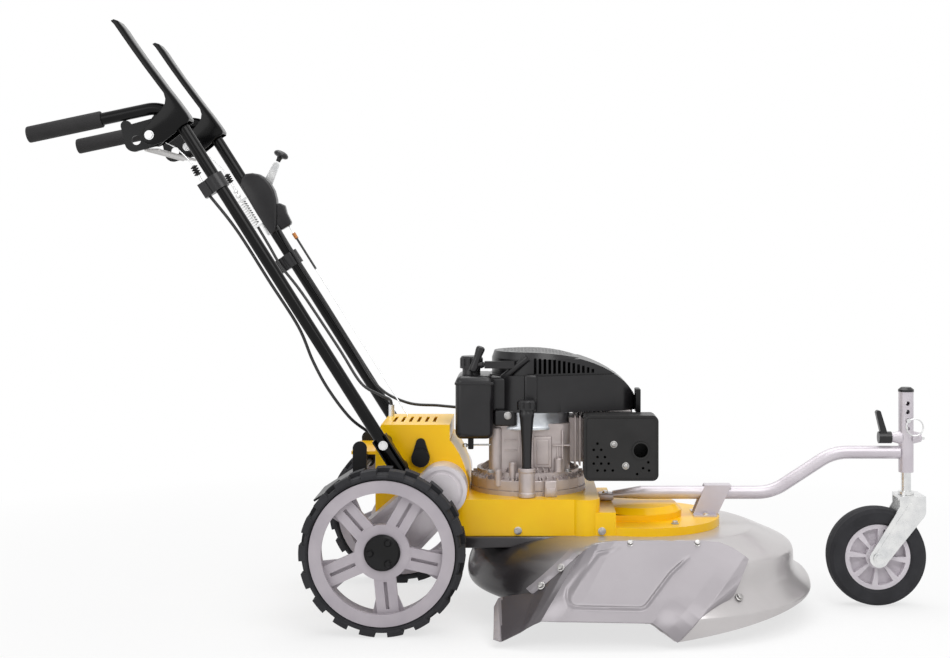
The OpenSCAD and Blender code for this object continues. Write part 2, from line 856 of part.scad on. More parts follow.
module side_deflector() {
    rise = deck_top_z - rim_low_z;
    run = rim_flare_r - chute_top_y;
    tilt = atan2(run, rise);
    slant = norm([rise, run]);
    m = slant * panel_margin_share;
    w0 = chute_low_x0;
    color([0.78, 0.77, 0.77]) placed() difference() {
        union() {
            chute(0, 0);
            hull() {
                fin_point(fin_a_x, fin_a_y, fin_a_z);
                fin_point(fin_b_x, fin_b_y, fin_b_z);
                fin_point(fin_c_x, fin_c_y, fin_c_z);
                fin_point(chute_low_x0, rim_flare_r, rim_low_z);
            }
            translate([0, -rim_flare_r, rim_low_z]) rotate([90 - tilt, 0, 0]) translate([0, 0, -over])
                linear_extrude(height = over + panel_bead) difference() {
                polygon([[w0 + 2 * m, m], [chute_low_x1 - m, m], [chute_top_x1 - 2 * m, slant - m],
                    [chute_top_x0 + m, slant - m]]);
                polygon([[w0 + 2 * m + 3 * panel_bead, m + 2 * panel_bead], [chute_low_x1 - m - 2 * panel_bead, m + 2 * panel_bead],
                    [chute_top_x1 - 2 * m - 3 * panel_bead, slant - m - 2 * panel_bead],
                    [chute_top_x0 + m + 2 * panel_bead, slant - m - 2 * panel_bead]]);
            }
        }
        chute(sheet, rim_low_z);
        difference() {
            bowl(0, -over);
            chute_window();
        }
    }
}

module spindle() {
    color([0.45, 0.45, 0.46]) placed() translate([spindle_x, 0, 0]) {
        low = cutter_z + cutter_t;
        translate([0, 0, low]) cylinder(r = spindle_r, h = deck_top_z + spindle_boss_up - low);
        translate([0, 0, low]) cylinder(r = spindle_collar_r, h = spindle_collar_h);
        translate([0, 0, cutter_z - cutter_washer_t]) cylinder(r = cutter_washer_r, h = cutter_washer_t);
        translate([0, 0, cutter_z - cutter_washer_t - cutter_bolt_h]) cylinder(r = cutter_bolt_r, h = cutter_bolt_h, $fn = 6);
    }
}

module cutter_bar() {
    half = cutter_r - cutter_wing_len;
    color([0.35, 0.35, 0.36]) placed() translate([spindle_x, 0, cutter_z]) {
        linear_extrude(height = cutter_t) intersection() {
            translate([-cutter_r, -cutter_w / 2]) square([2 * cutter_r, cutter_w]);
            circle(r = cutter_r);
        }
        for (s = [0, 180]) rotate([0, 0, s]) translate([half, cutter_w / 2 - cutter_t, 0])
            rotate([cutter_wing_tilt, 0, 0]) cube([cutter_wing_len * wing_share, cutter_w / 3, cutter_t / 2]);
    }
}

// Chassis and covers
module gear2d(inset, low) {
    polygon([[gear_rear_x + inset, low], [gear_rear_x + inset, gear_rear_z], [gear_top_x0 + inset, gear_top_z - inset],
        [gear_front_x - inset, gear_top_z - inset], [gear_front_x - inset, low]]);
    intersection() {
        translate([0, gear_front_z]) circle(r = gear_front_r - inset);
        polygon([[gear_front_x - inset - over, low], [gear_front_x - inset - over, gear_shoulder_z - inset],
            [gear_front_r, gear_shoulder_z - inset], [gear_front_r, low]]);
    }
}

module transmission_housing() {
    color([0.96, 0.74, 0.1]) placed() {
        difference() {
            side(-gear_half_w, 2 * gear_half_w) gear2d(0, gear_low_z);
            side(-gear_half_w + cover_wall, 2 * (gear_half_w - cover_wall)) gear2d(cover_wall, gear_low_z - over);
            for (i = [0 : louvre_count - 1]) translate([louvre_x + (i - louvre_count / 2) * louvre_pitch, -louvre_len / 2,
                gear_top_z - cover_wall - over]) cube([louvre_w, louvre_len, cover_wall + 2 * over]);
        }
        translate([strap_back_x, tail_t - tail_y, strap_z]) cube([gear_rear_x - strap_back_x + over, 2 * (tail_y - tail_t), strap_t]);
    }
}

module drive_case2d(grow) {
    link2d(drive_x, drive_z, drive_small_r + grow, 0, axle_z, drive_big_r + grow);
}

module chassis_body(inset) {
    h = seat_z - deck_top_z - inset;
    low = deck_top_z - (inset > 0 ? over : 0);
    lift = inset > 0 ? over : 0;
    translate([base_rear_x + inset, -base_half_w + inset, low]) linear_extrude(height = h + lift)
        rrect(base_step_x - base_rear_x - 2 * inset, 2 * (base_half_w - inset), base_corner_r);
    translate([base_step_x - base_corner_r - over, -base_half_w + inset, low])
        cube([base_front_x - base_step_x + base_corner_r + over - inset, 2 * (base_half_w - inset), base_step_z - deck_top_z - inset + lift]);
    for (s = [-1, 1]) translate([pillar_x, s * (base_half_w - pillar_r + pillar_out), low])
        cylinder(r = pillar_r - inset, h = h + lift);
}

module chassis() {
    color([0.96, 0.74, 0.1]) placed() difference() {
        chassis_body(0);
        chassis_body(cover_wall);
        side(-gear_half_w, 2 * gear_half_w) gear2d(0, gear_low_z);
        side(-base_half_w - over, 2 * (base_half_w + over)) drive_case2d(drive_cut_gap);
    }
}

module belt_cover_body(inset) {
    low = deck_top_z - (inset > 0 ? over : 0);
    intersection() {
        translate([spindle_x, 0, low]) cylinder(r = tray_r - inset, h = tray_top_z - inset - low);
        translate([base_front_x + inset, -tray_r, low]) cube([2 * tray_r, 2 * tray_r, tray_top_z]);
    }
    intersection() {
        union() {
            translate([dome_x, 0, 0]) rotate_extrude() polygon([[0, low], [dome_r - inset, low], [dome_r - inset, dome_top_z - dome_round],
                [dome_r - dome_round - inset / 2, dome_top_z - inset], [0, dome_top_z - inset]]);
            translate([base_front_x, -dome_r + inset, low]) cube([dome_x - base_front_x, 2 * (dome_r - inset), dome_top_z - dome_round - low]);
        }
        translate([base_front_x + inset, -tray_r, low]) cube([2 * tray_r, 2 * tray_r, dome_top_z]);
    }
}

module belt_cover() {
    color([0.96, 0.74, 0.1]) placed() difference() {
        belt_cover_body(0);
        belt_cover_body(cover_wall);
    }
}

module bearing_cap() {
    color([0.12, 0.12, 0.12]) placed() {
        rod_y(bearing_x, -gear_half_w - bearing_h, bearing_z, bearing_r, bearing_h);
        side(-gear_half_w - bearing_h / 3, bearing_h / 3)
            link2d(bearing_x, bearing_z, bearing_r, bearing_x, bearing_z + bearing_rise_share * bearing_r, bearing_r / 2);
    }
}

module final_drive() {
    difference() {
        side(-drive_out_y, drive_out_y - gear_half_w) drive_case2d(0);
        side(-drive_out_y - over, drive_border_depth + over) drive_case2d(-drive_border);
        rod_y(0, -drive_out_y - over, axle_z, axle_r + run_gap, drive_axle_depth + over + run_gap);
    }
    difference() {
        side(-drive_out_y, drive_border_depth + over) drive_case2d(-2 * drive_border);
        rod_y(0, -drive_out_y - over, axle_z, axle_r + run_gap, drive_axle_depth + over);
    }
}

module final_drive_right() { color([0.75, 0.74, 0.74]) placed() final_drive(); }
module final_drive_left() { color([0.75, 0.74, 0.74]) placed() mirror([0, 1, 0]) final_drive(); }

module tail_side() {
    side(-tail_y, tail_t) link2d(tail_x, tail_top_z, tail_w / 2, tail_x, guard_z, tail_w / 2);
}

module tail_plate() {
    color([0.08, 0.08, 0.08]) placed() {
        tail_side();
        mirror([0, 1, 0]) tail_side();
    }
}

module rear_guard() {
    half = tail_y - tail_t;
    color([0.1, 0.1, 0.1]) placed() {
        rod_y(tail_x, -half, guard_z, guard_bar_r, 2 * half);
        along(tail_x, 0, guard_z, 180 + guard_drop) translate([0, -half, -guard_t / 2]) cube([guard_len, 2 * half, guard_t]);
    }
}

// Front arm and castor
arm_path = [[arm_start_x, arm_low_z], [arm_bend1_x, arm_low_z], [arm_bend2_x, arm_high_z],
    [post_x - post_od / 2 + arm_end_bite, arm_high_z]];

module front_arm() {
    color([0.74, 0.71, 0.74]) placed() {
        difference() {
            bent_tube(arm_path, arm_od / 2, arm_wall, arm_bend_r);
            translate([post_x, 0, post_bottom_z]) cylinder(r = post_od / 2, h = post_top_z - post_bottom_z);
        }
        hull() {
            translate([arm_start_x, 0, arm_low_z]) rod_x((arm_od - arm_wall) / 2, arm_plug, $fn = 32);
            translate([arm_start_x - arm_taper, -arm_flat_w / 2, base_step_z]) cube([arm_seam, arm_flat_w, arm_flat_t]);
        }
        translate([arm_start_x - arm_taper - arm_flat_len, -arm_flat_w / 2, base_step_z]) cube([arm_flat_len + arm_seam, arm_flat_w, arm_flat_t]);
    }
}

module arm_saddle() {
    half = arm_od / 2 + gap;
    top = arm_low_z + arm_od / 2 + gap;
    color([0.74, 0.71, 0.74]) placed() {
        for (s = [-1, 1]) {
            side(s > 0 ? half : -half - saddle_t, saddle_t) polygon([[saddle_low_x0, tray_top_z], [saddle_top_x0, top + saddle_t],
                [saddle_top_x1, top + saddle_t], [saddle_low_x1, tray_top_z]]);
            translate([saddle_low_x0, s > 0 ? half : -half - saddle_foot_w, tray_top_z])
                cube([saddle_low_x1 - saddle_low_x0 - saddle_t, saddle_foot_w, saddle_t]);
        }
        translate([saddle_top_x0, -half - saddle_t, top]) cube([saddle_top_x1 - saddle_top_x0, 2 * (half + saddle_t), saddle_t]);
    }
}

module front_post() {
    color([0.74, 0.71, 0.74]) placed() difference() {
        union() {
            translate([post_x, 0, post_bottom_z]) cylinder(r = post_od / 2, h = post_top_z - post_bottom_z);
            for (s = [0, 180]) translate([post_x, 0, clamp_z]) rotate([0, 0, s]) translate([post_od / 2 - stem_r / 2, 0, 0])
                rotate([0, 90, 0]) cylinder(r1 = boss_r, r2 = boss_tip_r, h = boss_len);
        }
        translate([post_x, 0, post_bottom_z - over]) cylinder(r = stem_r + run_gap, h = post_top_z - post_bottom_z + 2 * over);
        for (i = [-1 : 2]) rod_y(post_x, -post_od, pin_z + i * pin_pitch, pin_r + hole_play, 2 * post_od);
        translate([post_x, 0, clamp_z]) rotate([0, 0, 180]) rod_x(clamp_stud_r + run_gap, post_od + boss_len);
    }
}

module post_cap() {
    color([0.1, 0.1, 0.1]) placed() translate([post_x, 0, post_top_z]) rotate_extrude()
        polygon([[0, 0], [post_od / 2 + cap_r_extra, 0], [post_od / 2 + cap_r_extra, cap_h / 2], [post_od / 3, cap_h], [0, cap_h]]);
}

module castor_stem() {
    color([0.6, 0.6, 0.61]) placed() translate([post_x, 0, 0]) {
        low = fork_top_z - fork_plate_t - gap - stem_collar_h;
        translate([0, 0, low]) cylinder(r = stem_r, h = stem_top_z - low);
        translate([0, 0, low]) cylinder(r = stem_collar_r, h = stem_collar_h);
        translate([0, 0, fork_top_z + gap]) cylinder(r = stem_collar_r, h = stem_collar_h);
    }
}

module fork_leg2d(share) {
    link2d(post_x + fork_front_x, fork_front_z, fork_front_r * share, castor_x, castor_r, fork_end_r * share);
}

module castor_fork() {
    in_y = castor_w / 2 + fork_gap;
    top = fork_top_z - fork_plate_t;
    color([0.8, 0.8, 0.8]) placed() difference() {
        union() {
            for (s = [-1, 1]) {
                side(s > 0 ? in_y : -in_y - fork_t, fork_t) intersection() {
                    union() {
                        fork_leg2d(1);
                        translate([post_x + fork_front_x - fork_front_r, fork_front_z]) square([2 * fork_front_r, fork_top_z - fork_front_z]);
                    }
                    translate([castor_x - 2 * castor_r, 0]) square([4 * castor_r, fork_top_z]);
                }
                side(s > 0 ? in_y + fork_t : -in_y - fork_t - fork_emboss_t, fork_emboss_t) fork_leg2d(fork_emboss_share);
            }
            translate([post_x + fork_front_x - fork_front_r, -in_y - fork_t, top])
                cube([2 * fork_front_r, 2 * (in_y + fork_t), fork_plate_t]);
        }
        translate([post_x, 0, top - over]) cylinder(r = stem_r + run_gap, h = fork_plate_t + 2 * over);
        rod_y(castor_x, -2 * castor_w, castor_r, castor_bore_r, 4 * castor_w);
    }
}

module castor_axle() {
    end = castor_w / 2 + fork_gap + fork_t + fork_emboss_t;
    color([0.7, 0.7, 0.7]) placed() {
        rod_y(castor_x, -end, castor_r, castor_bore_r, 2 * end);
        for (s = [-1, 1]) bolt_out(castor_x, s * end, castor_r, axle_head_r, axle_head_h);
    }
}

module at_castor() {
    placed() translate([castor_x, 0, castor_r]) rotate([90, 0, 0]) children();
}

module castor_tyre() {
    color([0.16, 0.16, 0.17]) at_castor() rotate_extrude() polygon([[castor_rim_r, -castor_w / 2 + castor_crown], [castor_rim_r + castor_crown, -castor_w / 2],
        [castor_r - 2 * castor_crown, -castor_w / 2], [castor_r - castor_crown / 2, -castor_w / 2 + castor_crown],
        [castor_r, -castor_crown], [castor_r, castor_crown], [castor_r - castor_crown / 2, castor_w / 2 - castor_crown],
        [castor_r - 2 * castor_crown, castor_w / 2], [castor_rim_r + castor_crown, castor_w / 2], [castor_rim_r, castor_w / 2 - castor_crown]]);
}

module castor_rim() {
    half = castor_w / 2 - castor_crown;
    color([0.55, 0.54, 0.55]) at_castor() difference() {
        union() {
            translate([0, 0, -half]) cylinder(r = castor_rim_r, h = 2 * half);
            translate([0, 0, -castor_w / 2]) cylinder(r = castor_hub_r, h = castor_w);
        }
        translate([0, 0, -castor_w]) cylinder(r = castor_bore_r + run_gap, h = 2 * castor_w);
        for (f = [0, 1]) for (i = [0 : castor_pockets - 1]) mirror([0, 0, f]) rotate([0, 0, i * 360 / castor_pockets])
            rotate_extrude(angle = pocket_turn) translate([pocket_in_r, half - pocket_depth])
                square([pocket_out_r - pocket_in_r, pocket_depth + over]);
    }
}

module height_pin() {
    end = post_od / 2 + pin_reach;
    color([0.75, 0.75, 0.75]) placed() {
        rod_y(post_x, -end, pin_z, pin_r, 2 * end);
        translate([post_x + ring_ahead, -end + ring_wire_r, pin_z - ring_drop]) rotate([90, 0, 0]) rotate_extrude()
            translate([ring_r, 0]) circle(r = ring_wire_r, $fn = 16);
    }
}

module clamp_lever() {
    base = post_x - post_od / 2 + stem_r / 2 - boss_len - gap;
    color([0.08, 0.08, 0.08]) placed() {
        translate([base - clamp_hub_len, 0, clamp_z]) rod_x(clamp_hub_r, clamp_hub_len);
        translate([base - over, 0, clamp_z]) rod_x(clamp_stud_r, post_x - stem_r - gap - base + over);
        side(-clamp_arm_r, 2 * clamp_arm_r) link2d(base - clamp_hub_len / 2, clamp_z, clamp_arm_r,
            base - clamp_hub_len / 2 - clamp_arm_len * sin(clamp_lean), clamp_z + clamp_arm_len * cos(clamp_lean), clamp_tip_r);
    }
}

// Handlebar, drawn for the right side
grip_u = [-cos(grip_slope), -sin(grip_slope)];
tube_path = [[bolt_x + tube_low * cos(handle_slope), bolt_z - tube_low * sin(handle_slope)], [vertex_x, vertex_z],
    [vertex_x, vertex_z] + grip_u * grip_end];

module handle_tube() {
    translate([0, -handle_y, 0]) bent_tube(tube_path, handle_od / 2, handle_wall, handle_bend_r);
}

// The straight part of the tube as a solid, to cut seats
module tube_core() {
    d = tube_path[1] - tube_path[0];
    along(tube_path[0][0], -handle_y, tube_path[0][1], atan2(d[1], d[0])) rod_x(handle_od / 2 + run_gap, norm(d) - handle_bend_r);
}

module at_handle(t) {
    along(bolt_x + t * cos(handle_turn), -handle_y, bolt_z + t * sin(handle_turn), handle_turn) children();
}

module handle_bracket() {
    inner = handle_od + 2 * gap;
    difference() {
        union() {
            at_handle(-channel_low) translate([0, -inner / 2, -channel_h / 2]) cube([channel_low + channel_up, inner + channel_wall, channel_h]);
            for (t = [0, -boss_low]) rod_y(bolt_x + t * cos(handle_turn), -handle_y, bolt_z + t * sin(handle_turn), boss_bore_r, handle_y - gear_half_w);
        }
        at_handle(-channel_low) translate([-over, -inner, -inner / 2]) cube([channel_low + channel_up + 2 * over, inner * 3 / 2, inner]);
        at_handle(-channel_low) rod_x(handle_od / 2, channel_low + 2 * channel_up);
    }
}

module grip() {
    along(vertex_x + grip_u[0] * grip_front, -handle_y, vertex_z + grip_u[1] * grip_front, 180 + grip_slope) difference() {
        rod_x(grip_od / 2, grip_len + grip_end_wall);
        translate([-over, 0, 0]) rod_x(handle_od / 2, grip_len + over);
    }
}

plate_d_x = vertex_x - plate_b_r;
plate_d_z = vertex_z - plate_c_r;

module lever_bracket() {
    difference() {
        union() {
            side(-handle_y - plate_t / 2, plate_t) {
                translate([plate_a_x, plate_a_z]) circle(r = plate_a_r);
                translate([plate_b_x, plate_b_z]) circle(r = plate_b_r);
                translate([plate_c_x, plate_c_z]) circle(r = plate_c_r);
                translate([plate_d_x, plate_d_z]) circle(r = plate_a_r);
                strip2d(plate_a_x, plate_a_z, plate_a_r, plate_b_x, plate_b_z, plate_b_r);
                strip2d(plate_b_x, plate_b_z, plate_b_r, plate_c_x, plate_c_z, plate_c_r);
                strip2d(plate_c_x, plate_c_z, plate_c_r, plate_d_x, plate_d_z, plate_a_r);
                polygon([[plate_a_x, plate_a_z], [plate_b_x, plate_b_z], [plate_c_x, plate_c_z], [plate_d_x, plate_d_z]]);
            }
            rod_y(pivot_x, -handle_y - lever_in + gap, pivot_z, bush_r, 2 * (lever_in - gap));
        }
        translate([0, -handle_y, 0]) bend_solid(tube_path, 1, handle_od / 2, handle_bend_r);
        rod_y(hole_x, -2 * handle_y, hole_z, switch_hole_r, 2 * handle_y);
        rod_y(pivot_x, -2 * handle_y, pivot_z, pivot_r, 2 * handle_y);
    }
}

module blade2d() {
    link2d(pivot_x + knee_dx, pivot_z + knee_dz, knee_r, pivot_x + tip_dx, pivot_z + tip_dz, tip_r);
}

module lever2d() {
    blade2d();
    translate([pivot_x, pivot_z]) circle(r = lever_eye_r);
    translate([pivot_x + ear_dx, pivot_z + ear_dz]) circle(r = ear_r);
    strip2d(pivot_x, pivot_z, lever_eye_r, pivot_x + ear_dx, pivot_z + ear_dz, ear_r);
}

module lever() {
    lean = atan2(tip_dz - knee_dz, tip_dx - knee_dx);
    blade_len = norm([tip_dx - knee_dx, tip_dz - knee_dz]);
    difference() {
        union() {
            for (s = [-1, 1]) side(-handle_y + (s > 0 ? lever_in : -lever_in - lever_t), lever_t) lever2d();
            difference() {
                side(-handle_y - lever_in - over, 2 * (lever_in + over)) blade2d();
                side(-handle_y - lever_in - 2 * over, 2 * (lever_in + 2 * over)) translate([-lever_t * sin(lean), lever_t * cos(lean)]) blade2d();
                along(pivot_x + knee_dx, -handle_y, pivot_z + knee_dz, lean) translate([-blade_len, -handle_y, -handle_y])
                    cube([blade_len * (1 + web_from_share), 2 * handle_y, 2 * handle_y]);
            }
        }
        rod_y(pivot_x, -2 * handle_y, pivot_z, pivot_r + run_gap, 2 * handle_y);
    }
}

module handle_bracket_right() { color([0.07, 0.07, 0.07]) placed() handle_bracket(); }
module handle_bracket_left() { color([0.07, 0.07, 0.07]) placed() mirror([0, 1, 0]) handle_bracket(); }
module handle_tube_right() { color([0.05, 0.05, 0.05]) placed() handle_tube(); }
module handle_tube_left() { color([0.05, 0.05, 0.05]) placed() mirror([0, 1, 0]) handle_tube(); }
module grip_right() { color([0.12, 0.12, 0.12]) placed() grip(); }
module grip_left() { color([0.12, 0.12, 0.12]) placed() mirror([0, 1, 0]) grip(); }
module lever_bracket_right() { color([0.07, 0.07, 0.07]) placed() lever_bracket(); }
module lever_bracket_left() { color([0.07, 0.07, 0.07]) placed() mirror([0, 1, 0]) lever_bracket(); }
module lever_right() { color([0.1, 0.1, 0.1]) placed() lever(); }
module lever_left() { color([0.1, 0.1, 0.1]) placed() mirror([0, 1, 0]) lever(); }

// Throttle quadrant on the left handle tube
quad_x = bolt_x + quad_along * cos(handle_turn);
quad_z = bolt_z + quad_along * sin(handle_turn);
quad_out_y = handle_y + quad_t / 2;

module throttle_quadrant() {
    color([0.1, 0.1, 0.1]) placed() difference() {
        union() {
            side(handle_y - quad_t / 2, quad_t) difference() {
                translate([quad_x, quad_z]) circle(r = quad_r);
                translate([quad_x, quad_z]) rotate(handle_turn) translate([-2 * quad_r, handle_od / 2]) square([4 * quad_r, 2 * quad_r]);
            }
            side(handle_y - quad_t / 3, quad_t * 2 / 3) translate([quad_x, quad_z]) rotate(handle_turn - 90 - quad_tab_turn)
                link2d(quad_r * quad_tab_len_share, 0, quad_tab_r, quad_r, 0, quad_tab_r);
            rod_y(quad_x, quad_out_y - over, quad_z, pivot_r, throttle_t + throttle_boss_h + gap + over);
        }
        mirror([0, 1, 0]) tube_core();
    }
}

module throttle_lever() {
    color([0.72, 0.72, 0.72]) placed() difference() {
        union() {
            side(quad_out_y + gap, throttle_t) link2d(quad_x, quad_z, throttle_w, quad_x + throttle_len * cos(throttle_turn),
                quad_z + throttle_len * sin(throttle_turn), throttle_w / 2);
            rod_y(quad_x, quad_out_y + gap + throttle_t / 2, quad_z, throttle_boss_r, throttle_t / 2 + throttle_boss_h);
        }
        rod_y(quad_x, quad_out_y, quad_z, pivot_r + run_gap, 2 * quad_t);
    }
}

module throttle_knob() {
    end = throttle_len + throttle_w / 2;
    color([0.06, 0.06, 0.06]) placed() along(quad_x + end * cos(throttle_turn), quad_out_y + gap + throttle_t / 2,
        quad_z + end * sin(throttle_turn), throttle_turn) rotate([0, 90, 0]) rotate_extrude() polygon([[0, 0], [knob_neck_r, 0], [knob_neck_r, knob_neck / 2],
            [knob_r * round_share, knob_neck * rise_share], [knob_r, knob_len / 2],
            [knob_r * round_share, knob_len * rise_share], [knob_r * crown_share, knob_len], [0, knob_len]]);
}

module tube_clamp(t) {
    difference() {
        at_handle(t) union() {
            rod_x(clamp_r, clamp_len);
            translate([0, -clamp_r / 2, 0]) cube([clamp_len, clamp_r, clamp_r + clamp_ear]);
        }
        tube_core();
        between(clutch_route[0], clutch_route[1], cable_r + run_gap);
    }
}

module cable_clamps() {
    color([0.06, 0.06, 0.06]) placed() {
        tube_clamp(clamp_near_along);
        mirror([0, 1, 0]) tube_clamp(clamp_far_along);
    }
}

module clutch_cable() { color([0.04, 0.04, 0.04]) placed() swept(route_points(clutch_route, cable_steps), cable_r, cable_sides); }
module drive_cable() { color([0.04, 0.04, 0.04]) placed() swept(route_points(drive_route, cable_steps), cable_r, cable_sides); }
module throttle_cable() { color([0.04, 0.04, 0.04]) placed() swept(route_points(throttle_route, cable_steps), cable_r, cable_sides); }

// A straight rod between two points
module between(a, b, r) {
    d = b - a;
    translate(a) rotate([0, acos(d[2] / norm(d)), atan2(d[1], d[0])]) cylinder(r = r, h = norm(d));
}

module shift_wire() {
    d = wire_b - wire_a;
    color([0.6, 0.6, 0.6]) placed() {
        between(wire_a, wire_b, wire_r);
        between(wire_a + d * sleeve_from_share, wire_a + d * sleeve_to_share, sleeve_r);
        between(wire_a + d * sleeve_from_share, wire_a + d * (sleeve_from_share + ferrule_len / norm(d)), ferrule_r);
    }
}

// Coil of the return spring, along the left tube's lower side, with a straight end at each plate
spring_d = 2 * spring_wire_r;
spring_coil_len = spring_len - 2 * spring_d;
spring_coil = [for (i = [0 : spring_turns * spring_steps]) let (a = 360 * i / spring_steps)
    [spring_d + i / (spring_turns * spring_steps) * spring_coil_len, spring_r * cos(a), spring_off + spring_r * sin(a)]];
spring_path = concat([[0, spring_r, spring_off]], spring_coil, [[spring_len, spring_r, spring_off]]);
spring_gap = min([for (i = [0 : len(spring_coil) - 1]) for (k = [i + spring_steps - 2 : min(len(spring_coil) - 1, i + spring_steps + 2)])
    norm(spring_coil[i] - spring_coil[k])]) - spring_d;
echo(spring_least_gap = spring_gap);

module swept_x(q, r, sides) {
    n = len(q);
    dirs = [for (i = [0 : n - 1]) let (d = q[min(n - 1, i + 1)] - q[max(0, i - 1)]) d / norm(d)];
    rings = [for (i = [0 : n - 1]) let (w = dirs[i], h = cross(w, [0, q[i][1], q[i][2] - spring_off]), a = h / norm(h), b = cross(w, a))
        for (k = [0 : sides - 1]) q[i] + r * (cos(360 * k / sides) * a + sin(360 * k / sides) * b)];
    walls = [for (i = [0 : n - 2]) for (k = [0 : sides - 1]) let (m = (k + 1) % sides)
        each [[i * sides + k, (i + 1) * sides + k, (i + 1) * sides + m], [i * sides + k, (i + 1) * sides + m, i * sides + m]]];
    caps = [for (k = [1 : sides - 2]) each [[0, k, k + 1], [(n - 1) * sides, (n - 1) * sides + k + 1, (n - 1) * sides + k]]];
    polyhedron(points = rings, faces = concat(walls, caps));
}

module return_spring() {
    color([0.7, 0.7, 0.7]) placed() mirror([0, 1, 0]) at_handle(spring_along) swept_x(spring_path, spring_wire_r, spring_sides);
}

// Engine
module engine_base() {
    color([0.66, 0.63, 0.61]) placed() translate([engine_x, 0, seat_z]) {
        cylinder(r = flange_r, h = flange_low_h);
        cylinder(r = flange_neck_r, h = flange_h);
        for (i = [0 : rib_count - 1]) rotate([0, 0, i * 360 / rib_count]) translate([0, -rib_w / 2, 0]) cube([flange_r - over, rib_w, flange_h - flange_low_h]);
    }
}

module crankcase() {
    color([0.66, 0.63, 0.61]) placed() {
        translate([case_x0, -case_half_w, flange_top_z]) linear_extrude(height = case_h)
            rrect(case_x1 - case_x0, 2 * case_half_w, case_corner);
        translate([case_x1 - over, -barrel_half_w, barrel_z0]) cube([head_x1 - case_x1 + over, 2 * barrel_half_w, barrel_z1 - barrel_z0]);
        for (i = [0 : fin_count - 1]) translate([case_x1 + (i + 1) * (barrel_x1 - case_x1) / (fin_count + 1), -fin_half_w, barrel_z0 - fin_grow])
            cube([fin_t, 2 * fin_half_w, barrel_z1 - barrel_z0 + 2 * fin_grow]);
        translate([barrel_x1, -fin_half_w, barrel_z0 - fin_grow]) cube([head_x1 - barrel_x1, 2 * fin_half_w, barrel_z1 - barrel_z0 + 2 * fin_grow]);
        rod_y(exhaust_x, -muffler_near_y + muffler_depth, exhaust_z, exhaust_r, muffler_near_y - muffler_depth);
    }
}

module blower_ring() {
    color([0.78, 0.78, 0.76]) placed() translate([engine_x, 0, case_top_z]) difference() {
        cylinder(r = ring_blower_r, h = ring_h);
        translate([0, 0, ring_in_wall]) cylinder(r = ring_blower_r - ring_in_wall, h = ring_h);
    }
}

module blower2d(inset) {
    link2d(blower_x, 0, blower_r - inset, blower_nose_x, 0, blower_nose_r - inset);
}

// Side view of the blower housing: flat behind the crown, then a quarter ellipse down to the nose
module crown2d(inset) {
    len_x = blower_nose_x + blower_nose_r - engine_x - inset;
    rise = blower_top_z - blower_low_z - inset;
    polygon(concat([[engine_x - 2 * blower_r, blower_low_z - over], [engine_x - 2 * blower_r, blower_top_z - inset]],
        [for (i = [crown_steps : -1 : 0]) [engine_x + len_x * cos(90 * i / crown_steps), blower_low_z + rise * sin(90 * i / crown_steps)]],
        [[engine_x + len_x, blower_low_z - over]]));
}

module blower_body(inset) {
    low = blower_low_z + inset;
    intersection() {
        union() {
            translate([0, 0, low]) linear_extrude(height = blower_mid_z - low - inset) blower2d(inset);
            translate([0, 0, low]) linear_extrude(height = blower_top_z - low - blower_round) blower2d(inset + blower_step);
            translate([blower_x, 0, 0]) rotate_extrude() polygon([[0, low], [blower_r - blower_step - inset, low],
                [blower_r - blower_step - inset, blower_top_z - blower_round], [blower_r - blower_round - inset, blower_top_z],
                [0, blower_top_z]]);
        }
        side(-2 * blower_r, 4 * blower_r) crown2d(inset);
    }
}

module blower_housing() {
    color([0.14, 0.13, 0.14]) placed() {
        difference() {
            blower_body(0);
            blower_body(blower_wall);
            translate([engine_x, 0, blower_low_z - over]) cylinder(r = ring_blower_r - 2 * ring_in_wall, h = blower_wall + 2 * over);
            for (i = [0 : slot_count - 1]) let (x = slot_x0 + i * slot_pitch, f = (x + slot_w - engine_x) / (blower_nose_x + blower_nose_r - engine_x),
                top = blower_low_z + (blower_top_z - blower_low_z) * sqrt(1 - f * f) - slot_top_margin)
                if (top > slot_low_z + slot_w) translate([x, -blower_r - over, slot_low_z]) cube([slot_w, blower_r, top - slot_low_z]);
            for (i = [0 : grille_count - 1]) for (j = [-grille_rows : grille_rows]) let (x = grille_x0 + (i + (j % 2 == 0 ? 0 : 0.5)) * grille_pitch)
                if (norm([x - blower_x, j * grille_pitch]) < blower_r - blower_step - blower_round - grille_hole_r)
                    translate([x, j * grille_pitch, grille_low_z]) cylinder(r = grille_hole_r, h = blower_top_z - grille_low_z + over, $fn = 16);
        }
        difference() {
            translate([starter_x - guide_r, starter_y - guide_r, starter_z - guide_h]) cube([guide_len, 2 * guide_r, guide_h]);
            blower_body(0);
        }
    }
}

